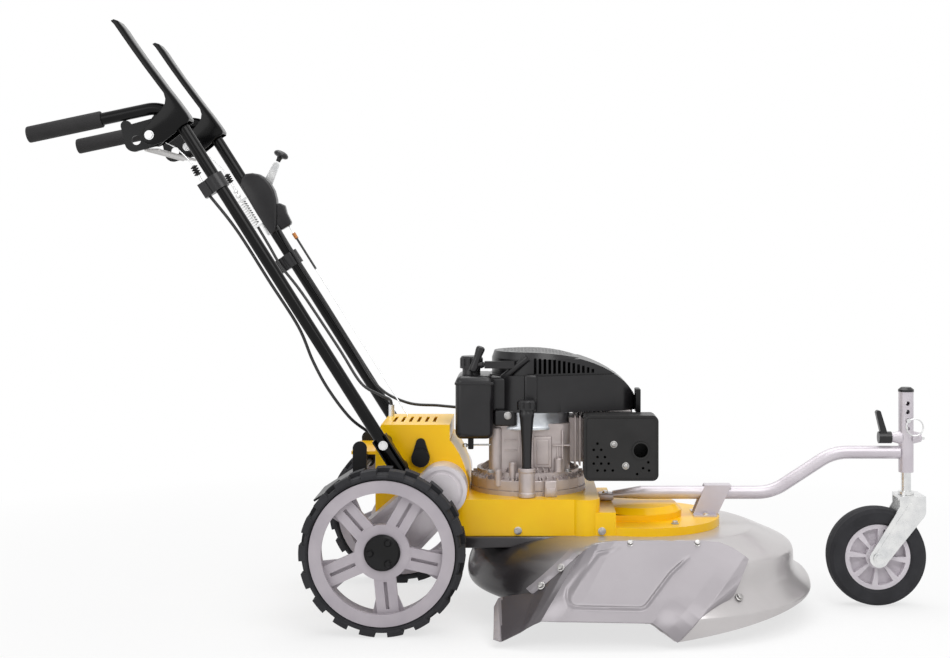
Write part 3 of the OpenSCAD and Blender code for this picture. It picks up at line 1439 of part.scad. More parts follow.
module muffler() {
    color([0.1, 0.1, 0.1]) placed() difference() {
        union() {
            translate([muffler_x, 0, muffler_z]) side(-muffler_near_y, muffler_depth) rrect(muffler_len, muffler_h, muffler_corner);
            translate([muffler_x + muffler_face_in, 0, muffler_z + muffler_face_in]) side(-muffler_near_y - muffler_face_t, muffler_face_t + over)
                rrect(muffler_len - 2 * muffler_face_in, muffler_h - 2 * muffler_face_in, muffler_corner - muffler_face_in);
            rod_y(outlet_x, -muffler_near_y - muffler_face_t - outlet_lip, outlet_z, outlet_r + outlet_lip, outlet_lip + over);
        }
        translate([muffler_x + muffler_wall, 0, muffler_z + muffler_wall]) side(-muffler_near_y + muffler_wall, muffler_depth - 2 * muffler_wall)
            rrect(muffler_len - 2 * muffler_wall, muffler_h - 2 * muffler_wall, muffler_corner - muffler_wall);
        rod_y(outlet_x, -muffler_near_y - muffler_face_t - outlet_lip - over, outlet_z, outlet_r, muffler_face_t + outlet_lip + muffler_wall + 2 * over);
        for (p = muffler_hole_shares) rod_y(muffler_x + p[0] * muffler_len, -muffler_near_y - muffler_face_t - over,
            muffler_z + p[1] * muffler_h, muffler_hole_r, muffler_face_t + muffler_wall + 2 * over);
    }
}

module fuel_tank() {
    color([0.13, 0.13, 0.13]) placed() {
        difference() {
            translate([tank_x0, tank_y0, tank_z0]) linear_extrude(height = tank_h) rrect(tank_x1 - tank_x0, tank_y1 - tank_y0, tank_corner);
            translate([blower_x, 0, tank_z0 - over]) cylinder(r = blower_r + tank_gap, h = tank_h + 2 * over);
            translate([case_x0, -case_half_w - tank_gap, tank_z0 - over]) cube([case_x1 - case_x0, 2 * (case_half_w + tank_gap), case_top_z - tank_z0 + tank_gap + ring_h + over]);
        }
        translate([neck_x, neck_y, tank_z0 + tank_h]) cylinder(r = neck_r, h = neck_h);
    }
}

module grip_cap(r, h, n) {
    difference() {
        rotate_extrude() polygon([[0, 0], [r, 0], [r, h * rise_share], [r * round_share, h], [0, h]]);
        for (i = [0 : n - 1]) rotate([0, 0, i * 360 / n]) translate([r, 0, h * flute_low_share])
            cylinder(r = r * flute_share, h = h, $fn = 16);
    }
}

module fuel_cap() { color([0.08, 0.08, 0.08]) placed() translate([neck_x, neck_y, tank_z0 + tank_h + neck_h]) grip_cap(cap_r, fuel_cap_h, cap_grips); }

module starter_grip() {
    color([0.07, 0.07, 0.07]) placed() translate([starter_x - guide_r - gap, starter_y, starter_z - guide_h / 2]) {
        translate([-starter_stem_h, 0, 0]) rod_x(starter_stem_r, starter_stem_h);
        translate([-starter_stem_h, 0, starter_rise]) rotate([0, -starter_turn, 0]) translate([-starter_bar_len / 2, 0, 0])
            rod_x(starter_bar_r, starter_bar_len);
    }
}

module dipstick_tube() {
    color([0.1, 0.1, 0.1]) placed() {
        difference() {
            union() {
                translate([dip_x, dip_y, dip_low_z]) cylinder(r = dip_r, h = dip_top_z - dip_low_z);
                translate([dip_x, dip_y, dip_low_z]) cylinder(r = dip_boss_r, h = dip_boss_h);
            }
            translate([engine_x, 0, 0]) cylinder(r = flange_r, h = flange_top_z);
        }
    }
}

module dipstick_cap() { color([0.08, 0.08, 0.08]) placed() translate([dip_x, dip_y, dip_top_z]) grip_cap(dip_cap_r, dip_cap_h, dip_grips); }

module carburettor() {
    color([0.12, 0.12, 0.12]) placed() {
        rod_y(carb_x, fin_half_w, (barrel_z0 + barrel_z1) / 2, carb_r, carb_len);
        side(fin_half_w + carb_len, filter_d) translate([filter_x0, filter_z0]) rrect(filter_x1 - filter_x0, filter_h, filter_corner);
    }
}

// Bolts, elbow and adjusters
module zinc_fittings() {
    out_y = handle_y + lever_in + lever_t + gap;
    color([0.75, 0.75, 0.76]) placed() {
        for (s = [-1, 1]) {
            rod_y(pivot_x, s * handle_y - out_y + handle_y, pivot_z, pivot_r, 2 * (out_y - handle_y));
            bolt_out(pivot_x, s * out_y, pivot_z, bolt_r, bolt_h);
            bolt_out(bolt_x, s * (handle_y + handle_od / 2), bolt_z, bolt_r, bolt_h);
            translate([pivot_x, s * (2 * handle_y - out_y), pivot_z]) rotate([s * 90, 0, 0]) bolt_head(bolt_r, bolt_h);
        }
        translate([drive_route[len(drive_route) - 1][0], drive_route[len(drive_route) - 1][1], gear_top_z]) cylinder(r = elbow_r, h = elbow_h);
        for (s = [-1, 1]) translate([(saddle_low_x0 + saddle_low_x1) / 2, s * (arm_od / 2 + saddle_foot_w * foot_bolt_share), foot_top_z]) bolt_head(small_bolt_r, small_bolt_h);
        translate([arm_start_x - arm_taper - arm_flat_len / 2, 0, base_step_z + arm_flat_t]) bolt_head(small_bolt_r, small_bolt_h);
        translate([post_x + post_od / 2 - stem_r / 2 + boss_len, 0, clamp_z]) rotate([0, 90, 0]) cylinder(r = small_bolt_r, h = nut_h, $fn = 6);
        mirror([0, 1, 0]) at_handle(spring_along - anchor_len) translate([0, -anchor_w / 2, handle_od / 2]) {
            cube([anchor_len, anchor_w, anchor_t]);
            for (x = [anchor_len - anchor_t, anchor_len + spring_len])
                translate([x, 0, 0]) cube([anchor_t, anchor_w, spring_off + spring_r - handle_od / 2]);
        }
    }
}

deck_shell();
side_deflector();
chassis();
belt_cover();
transmission_housing();
bearing_cap();
final_drive_right();
final_drive_left();
hub_right();
hub_left();
tyre_right();
rim_right();
tyre_left();
rim_left();
handle_bracket_right();
handle_bracket_left();
handle_tube_right();
handle_tube_left();
grip_right();
grip_left();
lever_bracket_right();
lever_bracket_left();
lever_right();
lever_left();
zinc_fittings();
throttle_quadrant();
throttle_lever();
throttle_knob();
cable_clamps();
clutch_cable();
drive_cable();
throttle_cable();
shift_wire();
return_spring();
tail_plate();
rear_guard();
front_arm();
arm_saddle();
front_post();
post_cap();
castor_stem();
castor_fork();
castor_tyre();
castor_rim();
castor_axle();
height_pin();
clamp_lever();
engine_base();
crankcase();
blower_ring();
blower_housing();
muffler();
fuel_tank();
fuel_cap();
starter_grip();
dipstick_tube();
dipstick_cap();
carburettor();
spindle();
cutter_bar();
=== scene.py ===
import math

import bpy
from mathutils import Matrix, Vector
from mathutils.bvhtree import BVHTree


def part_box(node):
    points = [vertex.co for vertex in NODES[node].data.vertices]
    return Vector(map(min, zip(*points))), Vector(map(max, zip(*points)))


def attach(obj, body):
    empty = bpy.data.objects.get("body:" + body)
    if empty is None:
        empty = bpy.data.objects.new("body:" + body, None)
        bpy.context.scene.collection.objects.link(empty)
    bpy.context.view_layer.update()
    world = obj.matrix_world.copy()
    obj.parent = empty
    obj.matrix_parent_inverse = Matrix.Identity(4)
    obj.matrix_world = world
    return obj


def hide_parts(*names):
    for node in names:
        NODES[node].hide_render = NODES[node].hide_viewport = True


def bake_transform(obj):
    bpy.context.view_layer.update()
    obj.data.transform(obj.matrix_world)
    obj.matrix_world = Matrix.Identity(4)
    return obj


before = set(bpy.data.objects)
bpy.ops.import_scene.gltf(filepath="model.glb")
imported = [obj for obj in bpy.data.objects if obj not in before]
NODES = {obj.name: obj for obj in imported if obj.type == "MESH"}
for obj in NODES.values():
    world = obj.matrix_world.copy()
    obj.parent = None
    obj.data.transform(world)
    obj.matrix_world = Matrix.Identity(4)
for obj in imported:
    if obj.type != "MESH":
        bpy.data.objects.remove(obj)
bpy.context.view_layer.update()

# Places are in millimetres from the rear axle, as in the part's source, and FRAME_X moves them to the frame
FRAME_X = -193.113


def mm(x, y, z):
    """A place in the shared frame, in metres."""
    return Vector(((x + FRAME_X) / 1000, y / 1000, z / 1000))


# Camera, to the machine's right and looking straight across it
CAMERA_PLACE = mm(257, -3000, 719.4)
bpy.ops.object.camera_add(location=CAMERA_PLACE, rotation=(math.pi / 2, 0, 0))
camera = bpy.context.object
camera.name = "camera"
camera.data.lens = 56.0
camera.data.sensor_width = 36.0
camera.data.shift_x = -0.0474
camera.data.shift_y = -0.0832
bpy.context.scene.camera = camera
bpy.context.scene.view_settings.view_transform = "Standard"


# Finishes
RELIEF_DEPTH = 0.0004


def linear(r, g, b):
    """A colour as it is seen, each part up to 255, as the light values that a shader takes."""
    parts = [c / 255 for c in (r, g, b)]
    return tuple(c / 12.92 if c <= 0.04045 else ((c + 0.055) / 1.055) ** 2.4 for c in parts) + (1,)


def finish(name, light, dark, rough=(0.3, 0.4), metal=0.0, mottle=9.0, grain=400.0, bump=0.03,
           coat=0.0, level=0.5, stretch=(1, 1, 1), rear=None):
    """A surface whose colour, gloss and relief vary; rear is painted shade: a darker colour and where it
    fades out.
    """
    m = bpy.data.materials.new(name)
    m.use_nodes = True
    n, link = m.node_tree.nodes, m.node_tree.links
    shader = n["Principled BSDF"]
    shader.inputs["Metallic"].default_value = metal
    shader.inputs["Coat Weight"].default_value = coat
    shader.inputs["Coat Roughness"].default_value = 0.08
    shader.inputs["Specular IOR Level"].default_value = level
    place = n.new("ShaderNodeTexCoord")
    turn = n.new("ShaderNodeMapping")
    turn.inputs["Scale"].default_value = stretch
    link.new(place.outputs["Object"], turn.inputs["Vector"])
    cloud = n.new("ShaderNodeTexNoise")
    cloud.inputs["Scale"].default_value = mottle
    cloud.inputs["Detail"].default_value = 5
    link.new(turn.outputs["Vector"], cloud.inputs["Vector"])
    shade = n.new("ShaderNodeValToRGB")
    shade.color_ramp.elements[0].position = 0.32
    shade.color_ramp.elements[0].color = linear(*dark)
    shade.color_ramp.elements[1].position = 0.66
    shade.color_ramp.elements[1].color = linear(*light)
    link.new(cloud.outputs["Fac"], shade.inputs["Fac"])
    # rear paints shade onto the colour: it turns to the darker one towards the rear, by place along x
    if rear:
        painted_rear_shade = n.new("ShaderNodeMixRGB")
        painted_rear_shade.inputs["Color1"].default_value = linear(*rear[0])
        split = n.new("ShaderNodeSeparateXYZ")
        reach = n.new("ShaderNodeMapRange")
        reach.interpolation_type = "SMOOTHSTEP"
        reach.inputs["From Min"].default_value = (rear[1] + FRAME_X) / 1000
        reach.inputs["From Max"].default_value = (rear[2] + FRAME_X) / 1000
        link.new(place.outputs["Object"], split.inputs["Vector"])
        link.new(split.outputs["X"], reach.inputs["Value"])
        link.new(reach.outputs["Result"], painted_rear_shade.inputs["Fac"])
        link.new(shade.outputs["Color"], painted_rear_shade.inputs["Color2"])
        link.new(painted_rear_shade.outputs["Color"], shader.inputs["Base Color"])
    else:
        link.new(shade.outputs["Color"], shader.inputs["Base Color"])
    fine = n.new("ShaderNodeTexNoise")
    fine.inputs["Scale"].default_value = grain
    fine.inputs["Detail"].default_value = 3
    link.new(turn.outputs["Vector"], fine.inputs["Vector"])
    gloss = n.new("ShaderNodeMapRange")
    gloss.inputs["To Min"].default_value = rough[0]
    gloss.inputs["To Max"].default_value = rough[1]
    link.new(cloud.outputs["Fac"], gloss.inputs["Value"])
    link.new(gloss.outputs["Result"], shader.inputs["Roughness"])
    relief = n.new("ShaderNodeBump")
    relief.inputs["Strength"].default_value = bump
    relief.inputs["Distance"].default_value = RELIEF_DEPTH
    link.new(fine.outputs["Fac"], relief.inputs["Height"])
    link.new(relief.outputs["Normal"], shader.inputs["Normal"])
    return m


yellow = finish("yellow_paint", (255, 205, 0), (253, 196, 0), rough=(0.26, 0.36), level=0.35, coat=0.08,
                mottle=14, grain=220, bump=0.05)
# The panel's silver is the deck's silver drawn darker, which is painted shade
panel_silver_painted_shade = finish("panel_silver_painted_shade", (153, 148, 152), (141, 136, 140), rough=(0.3, 0.42), metal=0.3,
                      mottle=6, grain=900, bump=0.03, coat=0.1)
# The fin's silver is the same silver drawn darker still: painted shade and dark reflection
fin_silver_painted_shade = finish("fin_silver_painted_shade", (92, 88, 91), (78, 74, 77), rough=(0.3, 0.4), metal=0.3, mottle=5,
                    grain=900, bump=0.02, coat=0.1)
# The deck's silver turns dark towards its rear: painted shade and dark reflection
deck_silver = finish("deck_silver", (196, 192, 192), (183, 179, 179), rough=(0.24, 0.36), metal=0.4,
                     mottle=6, grain=900, bump=0.03, coat=0.2, rear=((54, 51, 53), 250, 450))
arm_silver = finish("arm_silver", (212, 206, 212), (198, 191, 198), rough=(0.3, 0.4), metal=0.3, mottle=12,
                    grain=700, bump=0.03, coat=0.15)
case_silver = finish("case_silver", (230, 224, 228), (216, 210, 214), rough=(0.32, 0.44), metal=0.35,
                     mottle=15, grain=300, bump=0.06)
black_paint = finish("black_paint", (9, 9, 10), (4, 4, 5), rough=(0.14, 0.24), coat=0.06, level=0.16,
                     mottle=18, grain=350, bump=0.04)
black_plate = finish("black_plate", (22, 22, 23), (13, 13, 14), level=0.25, rough=(0.3, 0.42), mottle=22,
                     grain=600, bump=0.08)
moulded_black = finish("moulded_black", (31, 30, 32), (23, 22, 24), rough=(0.24, 0.36), mottle=20,
                       grain=1400, bump=0.1, level=0.42)
muffler_black = finish("muffler_black", (30, 29, 29), (21, 20, 20), level=0.38, rough=(0.36, 0.5),
                       mottle=26, grain=900, bump=0.14)
tyre_rubber = finish("tyre_rubber", (50, 50, 53), (38, 38, 41), rough=(0.72, 0.86), mottle=24, grain=900,
                     bump=0.25, level=0.3)
rim_grey = finish("rim_grey", (180, 173, 179), (168, 161, 168), rough=(0.36, 0.48), mottle=18, grain=700,
                  bump=0.05)
castor_grey = finish("castor_grey", (214, 208, 214), (200, 194, 200), rough=(0.38, 0.5), mottle=25,
                     grain=700, bump=0.06)
grip_rubber = finish("grip_rubber", (42, 41, 42), (30, 29, 30), rough=(0.6, 0.75), mottle=30, grain=1100,
                     bump=0.2, level=0.35)
sheath = finish("cable_sheath", (24, 24, 25), (14, 14, 15), rough=(0.32, 0.44), mottle=40, grain=1500,
                bump=0.06)
zinc = finish("bright_zinc", (232, 232, 231), (212, 213, 214), rough=(0.2, 0.34), metal=0.95, mottle=45,
              grain=600, bump=0.04)
bolt_zinc = finish("bolt_zinc", (186, 184, 182), (160, 158, 157), rough=(0.3, 0.42), metal=0.85, mottle=80,
                   grain=900, bump=0.05)
galvanised = finish("galvanised", (222, 226, 230), (200, 204, 210), rough=(0.24, 0.4), metal=0.6, mottle=60,
                    grain=300, bump=0.05)
cast_alu = finish("cast_aluminium", (194, 184, 182), (180, 170, 168), rough=(0.42, 0.55), metal=0.5,
                  mottle=40, grain=420, bump=0.22)
cutter_steel = finish("cutter_steel", (150, 150, 152), (120, 120, 122), rough=(0.3, 0.45), metal=0.95,
                      mottle=30, grain=500, bump=0.05, stretch=(1, 12, 1))
amber = finish("amber_ferrule", (196, 122, 40), (176, 104, 30), rough=(0.3, 0.42), mottle=60, grain=900,
               bump=0.05)

PAINT = {
    # The deck's silver darkens towards its rear as painted shade
    deck_silver: "deck_shell",
    # Panel: a darker copy of the deck's silver, painted shade
    panel_silver_painted_shade: "side_deflector",
    yellow: "chassis belt_cover transmission_housing",
    case_silver: "final_drive_right final_drive_left",
    black_paint: "handle_tube_right handle_tube_left lever_right lever_left",
    black_plate: "handle_bracket_right handle_bracket_left lever_bracket_right lever_bracket_left "
                 "tail_plate rear_guard hub_right hub_left bearing_cap",
    muffler_black: "muffler",
    arm_silver: "front_arm arm_saddle front_post",
    tyre_rubber: "tyre_right tyre_left castor_tyre",
    rim_grey: "rim_right rim_left",
    castor_grey: "castor_rim",
    grip_rubber: "grip_right grip_left",
    moulded_black: "throttle_quadrant throttle_knob cable_clamps post_cap clamp_lever blower_housing "
                   "fuel_tank fuel_cap starter_grip dipstick_tube dipstick_cap carburettor",
    sheath: "clutch_cable drive_cable throttle_cable",
    zinc: "zinc_fittings throttle_lever shift_wire return_spring castor_fork castor_axle castor_stem "
          "height_pin",
    galvanised: "blower_ring",
    cast_alu: "engine_base crankcase",
    cutter_steel: "spindle cutter_bar",
}
for material, names in PAINT.items():
    for name in names.split():
        mesh = NODES[name].data
        mesh.materials.clear()
        mesh.materials.append(material)


# Modelling helpers
def only(piece):
    """Selects one piece and nothing else."""
    bpy.ops.object.select_all(action="DESELECT")
    piece.select_set(True)
    bpy.context.view_layer.objects.active = piece


def settle(piece, name, material, body="frame", nodes=(), angle=35):
    """Puts a finished piece's place into its mesh, paints it and lets it ride on its body."""
    only(piece)
    bpy.ops.object.transform_apply(location=True, rotation=True, scale=True)
    bpy.ops.object.shade_smooth_by_angle(angle=math.radians(angle))
    piece.name = name
    piece.data.materials.clear()
    piece.data.materials.append(material)
    if body:
        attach(piece, body)
    if nodes:
        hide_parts(*nodes)
    return piece


def traced(points):
    """A chain of edges through points, extruded one by one and left selected in edit mode."""
    bpy.ops.object.select_all(action="DESELECT")
    bpy.ops.mesh.primitive_plane_add(size=0.001, location=(0, 0, 0))
    piece = bpy.context.object
    bpy.ops.object.mode_set(mode="EDIT")
    bpy.ops.mesh.select_all(action="SELECT")
    bpy.ops.mesh.merge(type="CENTER")
    bpy.ops.transform.translate(value=points[0])
    for a, b in zip(points, points[1:]):
        bpy.ops.mesh.extrude_region_move(TRANSFORM_OT_translate={"value": b - a})
    bpy.ops.mesh.select_all(action="SELECT")
    return piece


def turned(profile, steps):
    """A lathe piece about Z, from an outline of radius and height in millimetres."""
    piece = traced([Vector((radius, 0, height)) / 1000 for radius, height in profile])
    bpy.ops.mesh.spin(steps=steps, angle=2 * math.pi, center=(0, 0, 0), axis=(0, 0, 1))
    bpy.ops.mesh.select_all(action="SELECT")
    bpy.ops.mesh.remove_doubles(threshold=0.00001)
    bpy.ops.mesh.normals_make_consistent(inside=False)
    bpy.ops.object.mode_set(mode="OBJECT")
    return piece


def swept(points, radius, sides):
    """A round bar along points, from a curve with a round bevel."""
    bpy.ops.object.select_all(action="DESELECT")
    bpy.ops.curve.primitive_bezier_curve_add(location=(0, 0, 0))
    rod = bpy.context.object
    rod.data.splines.remove(rod.data.splines[0])
    line = rod.data.splines.new("POLY")
    line.points.add(len(points) - 1)
    for p, q in zip(line.points, points):
        p.co = (*q, 1)
    rod.data.dimensions = "3D"
    rod.data.bevel_depth = radius / 1000
    rod.data.bevel_resolution = sides
    rod.data.use_fill_caps = True
    bpy.ops.object.convert(target="MESH")
    return bpy.context.object


def smooth_point(points, i, t):
    """A point of the smooth curve through points, a share of the way from one of them to the next."""
    last = len(points) - 1
    a, b, c, d = (Vector(points[min(max(k, 0), last)]) for k in range(i - 1, i + 3))
    bow = (2 * a - 5 * b + 4 * c - d) * t * t + (3 * b - a - 3 * c + d) * t ** 3
    return 0.5 * (2 * b + (c - a) * t + bow)


def routed(route, parts=8):
    """Points on the smooth curve through a cable's route, as the part's source draws it."""
    spots = [smooth_point(route, i, k / parts) for i in range(len(route) - 1) for k in range(parts)]
    return [mm(*spot) for spot in spots] + [mm(*route[-1])]


def bent(corners, y, bend, parts=14):
    """Points of a bent tube's middle line in the side view, its corners rounded to the bend radius."""
    out = [mm(corners[0][0], y, corners[0][1])]
    for a, b, c in zip(corners, corners[1:], corners[2:]):
        a, b, c = Vector(a), Vector(b), Vector(c)
        u, w = (b - a).normalized(), (c - b).normalized()
        turn = math.atan2(u.x * w.y - u.y * w.x, u.dot(w))
        start = b - u * bend * math.tan(abs(turn) / 2)
        centre = start + bend * math.copysign(1, turn) * Vector((-u.y, u.x))
        first = math.atan2(start.y - centre.y, start.x - centre.x)
        for k in range(parts + 1):
            g = first + turn * k / parts
            out.append(mm(centre.x + bend * math.cos(g), y, centre.y + bend * math.sin(g)))
    return out + [mm(corners[-1][0], y, corners[-1][1])]


def stand(piece, where, along):
    """Moves a piece drawn about Z so that its axis points along a direction, from a place."""
    turn = Vector(along).to_track_quat("Z", "Y").to_matrix().to_4x4()
    piece.matrix_world = Matrix.Translation(where) @ turn
    return piece


def copy_of(piece):
    """A copy with its own mesh."""
    twin = piece.copy()
    twin.data = piece.data.copy()
    bpy.context.collection.objects.link(twin)
    return twin


def block(x0, x1, y0, y1, z0, z1, edge=2.0, segments=3):
    """A box between two corners in millimetres, all its edges rounded."""
    bpy.ops.object.select_all(action="DESELECT")
    bpy.ops.mesh.primitive_cube_add(size=1, location=(0, 0, 0))
    piece = bpy.context.object
    piece.scale = Vector((x1 - x0, y1 - y0, z1 - z0)) / 1000
    piece.location = mm((x0 + x1) / 2, (y0 + y1) / 2, (z0 + z1) / 2)
    bpy.ops.object.transform_apply(location=True, rotation=True, scale=True)
    bpy.ops.object.mode_set(mode="EDIT")
    bpy.ops.mesh.select_all(action="SELECT")
    bpy.ops.mesh.bevel(offset=edge / 1000, segments=segments, affect="EDGES")
    bpy.ops.object.mode_set(mode="OBJECT")
    return piece


def pick(piece, wanted):
    """Selects the points of a piece that a test on their place names, and nothing else."""
    only(piece)
    bpy.ops.object.mode_set(mode="EDIT")
    bpy.ops.mesh.select_mode(type="VERT")
    bpy.ops.mesh.select_all(action="DESELECT")
    bpy.ops.object.mode_set(mode="OBJECT")
    for v in piece.data.vertices:
        v.select = wanted(v.co)


def joined(*pieces):
    """One piece from several."""
    bpy.ops.object.select_all(action="DESELECT")
    for p in pieces:
        p.select_set(True)
    bpy.context.view_layer.objects.active = pieces[0]
    bpy.ops.object.join()
    return bpy.context.object


def placed(piece, x, y, z):
    """Moves a piece drawn at the origin to a place in millimetres."""
    piece.location = mm(x, y, z)
    only(piece)
    bpy.ops.object.transform_apply(location=True, rotation=True, scale=True)
    return piece


def cut_out(outline, y0, y1, edge=0.0, segments=3):
    """A plate of an outline in the side view, from one side place to another, its sharp edges rounded."""
    piece = traced([mm(x, y0, z) for x, z in outline])
    bpy.ops.mesh.edge_face_add()
    bpy.ops.mesh.extrude_region_move(TRANSFORM_OT_translate={"value": (0, (y1 - y0) / 1000, 0)})
    bpy.ops.mesh.select_all(action="SELECT")
    bpy.ops.mesh.normals_make_consistent(inside=False)
    bpy.ops.object.mode_set(mode="OBJECT")
    if edge:
        rounding = piece.modifiers.new("rounding", "BEVEL")
        rounding.width = edge / 1000
        rounding.segments = segments
        rounding.limit_method = "ANGLE"
        rounding.angle_limit = math.radians(50)
        only(piece)
        bpy.ops.object.modifier_apply(modifier="rounding")
    return piece


def taken_out(piece, cutter):
    """Cuts one closed piece out of another."""
    cut = piece.modifiers.new("cut", "BOOLEAN")
    cut.operation = "DIFFERENCE"
    cut.object = cutter
    only(piece)
    bpy.ops.object.modifier_apply(modifier="cut")
    bpy.data.objects.remove(cutter)


def through(points, share):
    """The point at a share of the way along a smooth curve through points."""
    at = min(share, 0.999999) * (len(points) - 1)
    return smooth_point(points, int(at), at - int(at))


def pressed(columns, rows, place, thick, merged=False, hole=None):
    """Sheet metal: a grid whose every point is put in its place, then given its thickness inwards."""
    bpy.ops.object.select_all(action="DESELECT")
    bpy.ops.mesh.primitive_grid_add(x_subdivisions=columns, y_subdivisions=rows, size=2, location=(0, 0, 0))
    piece = bpy.context.object
    for v in piece.data.vertices:
        v.co = mm(*place((v.co.x + 1) / 2, (v.co.y + 1) / 2))
    if merged:
        bpy.ops.object.mode_set(mode="EDIT")
        bpy.ops.mesh.select_all(action="SELECT")
        bpy.ops.mesh.remove_doubles(threshold=0.00001)
        bpy.ops.object.mode_set(mode="OBJECT")
    if hole:
        bpy.ops.object.mode_set(mode="EDIT")
        bpy.ops.mesh.select_mode(type="FACE")
        bpy.ops.mesh.select_all(action="DESELECT")
        bpy.ops.object.mode_set(mode="OBJECT")
        for face in piece.data.polygons:
            face.select = hole(face.center)
        bpy.ops.object.mode_set(mode="EDIT")
        bpy.ops.mesh.delete(type="FACE")
        bpy.ops.mesh.select_mode(type="VERT")
        bpy.ops.object.mode_set(mode="OBJECT")
    wall = piece.modifiers.new("thickness", "SOLIDIFY")
    wall.thickness = thick / 1000
    wall.offset = -1
    only(piece)
    bpy.ops.object.modifier_apply(modifier=wall.name)
    return piece


def soft_step(value, low, high):
    """Rises softly from 0 to 1 between two values."""
    t = min(max((value - low) / (high - low), 0), 1)
    return t * t * (3 - 2 * t)


# Handle tubes
HANDLE_Y = 160
SIDES = (("right", -HANDLE_Y), ("left", HANDLE_Y))
BRACKET_BOLT = Vector((-5, 345))
TUBE_BEND = Vector((-418, 998))
TUBE_SLOPE, GRIP_FALL = math.radians(57.5), math.radians(12)
TUBE_UP = Vector((-math.cos(TUBE_SLOPE), math.sin(TUBE_SLOPE)))
GRIP_RUN = Vector((-math.cos(GRIP_FALL), -math.sin(GRIP_FALL)))
TUBE_CORNERS = [BRACKET_BOLT - TUBE_UP * 62, TUBE_BEND, TUBE_BEND + GRIP_RUN * 272]
TUBE_R, BEND_R = 12, 60
for side_name, y in SIDES:
    settle(swept(bent(TUBE_CORNERS, y, BEND_R), TUBE_R, 10), "bent_handle_" + side_name, black_paint,
           nodes=("handle_tube_" + side_name,))


# Foam grips
GRIP_LINE = [(12.1, 0), (15.1, 0), (16.0, 1.4), (16.0, 142.6), (15.2, 145), (13.2, 146), (0, 146)]
GRIP_START = TUBE_BEND + GRIP_RUN * 131
for side_name, y in SIDES:
    grip = turned(GRIP_LINE, 40)
    stand(grip, mm(GRIP_START.x, y, GRIP_START.y), (GRIP_RUN.x, 0, GRIP_RUN.y))
    settle(grip, "foam_grip_" + side_name, grip_rubber, nodes=("grip_" + side_name,))


# Cables, wire and spring
SHEATH_R = 3
CLUTCH = [(-339, -160, 823), (-287, -160, 757), (-224, -160, 658), (-169, -160, 572), (-141, -160, 506),
          (-112, -158, 452), (-72, -150, 397), (-38, -128, 366), (-22, -101, 350)]
DRIVE = [(-303, 160, 768), (-278, 152, 728), (-250, 140, 684), (-203, 120, 628), (-122, 90, 514),
         (-73, 68, 443), (-32, 54, 420), (-12, 50, 411), (-8, 50, 400)]
THROTTLE = [(-260, 146, 771), (-230, 138, 723), (-203, 137, 681), (-150, 136, 598), (-100, 134, 518),
            (-44, 124, 432), (20, 112, 398), (90, 108, 392), (150, 88, 386), (195, 56, 366)]
for name, route in (("clutch", CLUTCH), ("drive", DRIVE), ("throttle", THROTTLE)):
    settle(swept(routed(route), SHEATH_R, 6), name + "_sheath", sheath,
           nodes=(name + "_cable",))
wire_top, wire_low = mm(-240, 162, 775), mm(24, 66, 376)
settle(swept([wire_top, wire_low], 1.2, 5), "shift_rod", zinc, nodes=("shift_wire",))
sleeve_run = [wire_top.lerp(wire_low, share) for share in (0.05, 0.1, 0.17, 0.24)]
settle(swept(sleeve_run, 2.4, 6), "shift_sleeve", sheath)
ferrule_run = [wire_top.lerp(wire_low, share) for share in (0.05, 0.06, 0.07, 0.078)]
settle(swept(ferrule_run, 4, 7), "shift_ferrule", amber)

# The spring lies along the left tube, behind it
COIL_R, COIL_TURNS, COIL_STEPS = 7, 10, 20
coil_up = Vector((TUBE_UP.x, 0, TUBE_UP.y))
coil_back = Vector((-TUBE_UP.y, 0, TUBE_UP.x))
coil_hook = Vector((0, -COIL_R, 0))
coil_start = Vector((BRACKET_BOLT.x, HANDLE_Y, BRACKET_BOLT.y)) + coil_up * 520 + coil_back * 24
coil = [coil_start + coil_hook]
for i in range(COIL_TURNS * COIL_STEPS + 1):
    a = 2 * math.pi * i / COIL_STEPS
    rise = 2.6 + 56.8 * i / (COIL_TURNS * COIL_STEPS)
    coil.append(coil_start + coil_up * rise + coil_hook * math.cos(a) + coil_back * COIL_R * math.sin(a))
coil.append(coil_start + coil_up * 62 + coil_hook)
settle(swept([mm(*p) for p in coil], 1.3, 5), "coiled_spring", zinc, nodes=("return_spring",))


# Bolts, modelled once and copied
def bolt(flats, high, dome=False):
    """A bolt head on its washer, drawn about Z: a chamfered hexagon or a dome."""
    washer = turned([(0, 0), (flats * 0.72, 0), (flats * 0.76, 0.4), (flats * 0.76, 1.2),
                     (flats * 0.7, 1.6), (0, 1.6)], 28)
    foot = 1.2
    if dome:
        head = turned([(0, foot), (flats * 0.55, foot), (flats * 0.55, foot + high * 0.35),
                       (flats * 0.47, foot + high * 0.7), (flats * 0.28, foot + high * 0.95),
                       (0, foot + high)], 24)
    else:
        bpy.ops.object.select_all(action="DESELECT")
        bpy.ops.mesh.primitive_cylinder_add(vertices=6, radius=flats * 0.577 / 1000, depth=high / 1000,
                                            location=(0, 0, (foot + high / 2) / 1000))
        head = bpy.context.object
        bpy.ops.object.mode_set(mode="EDIT")
        bpy.ops.mesh.select_all(action="SELECT")
        bpy.ops.mesh.bevel(offset=flats * 0.05 / 1000, segments=2)
        bpy.ops.object.mode_set(mode="OBJECT")
    return joined(washer, head)


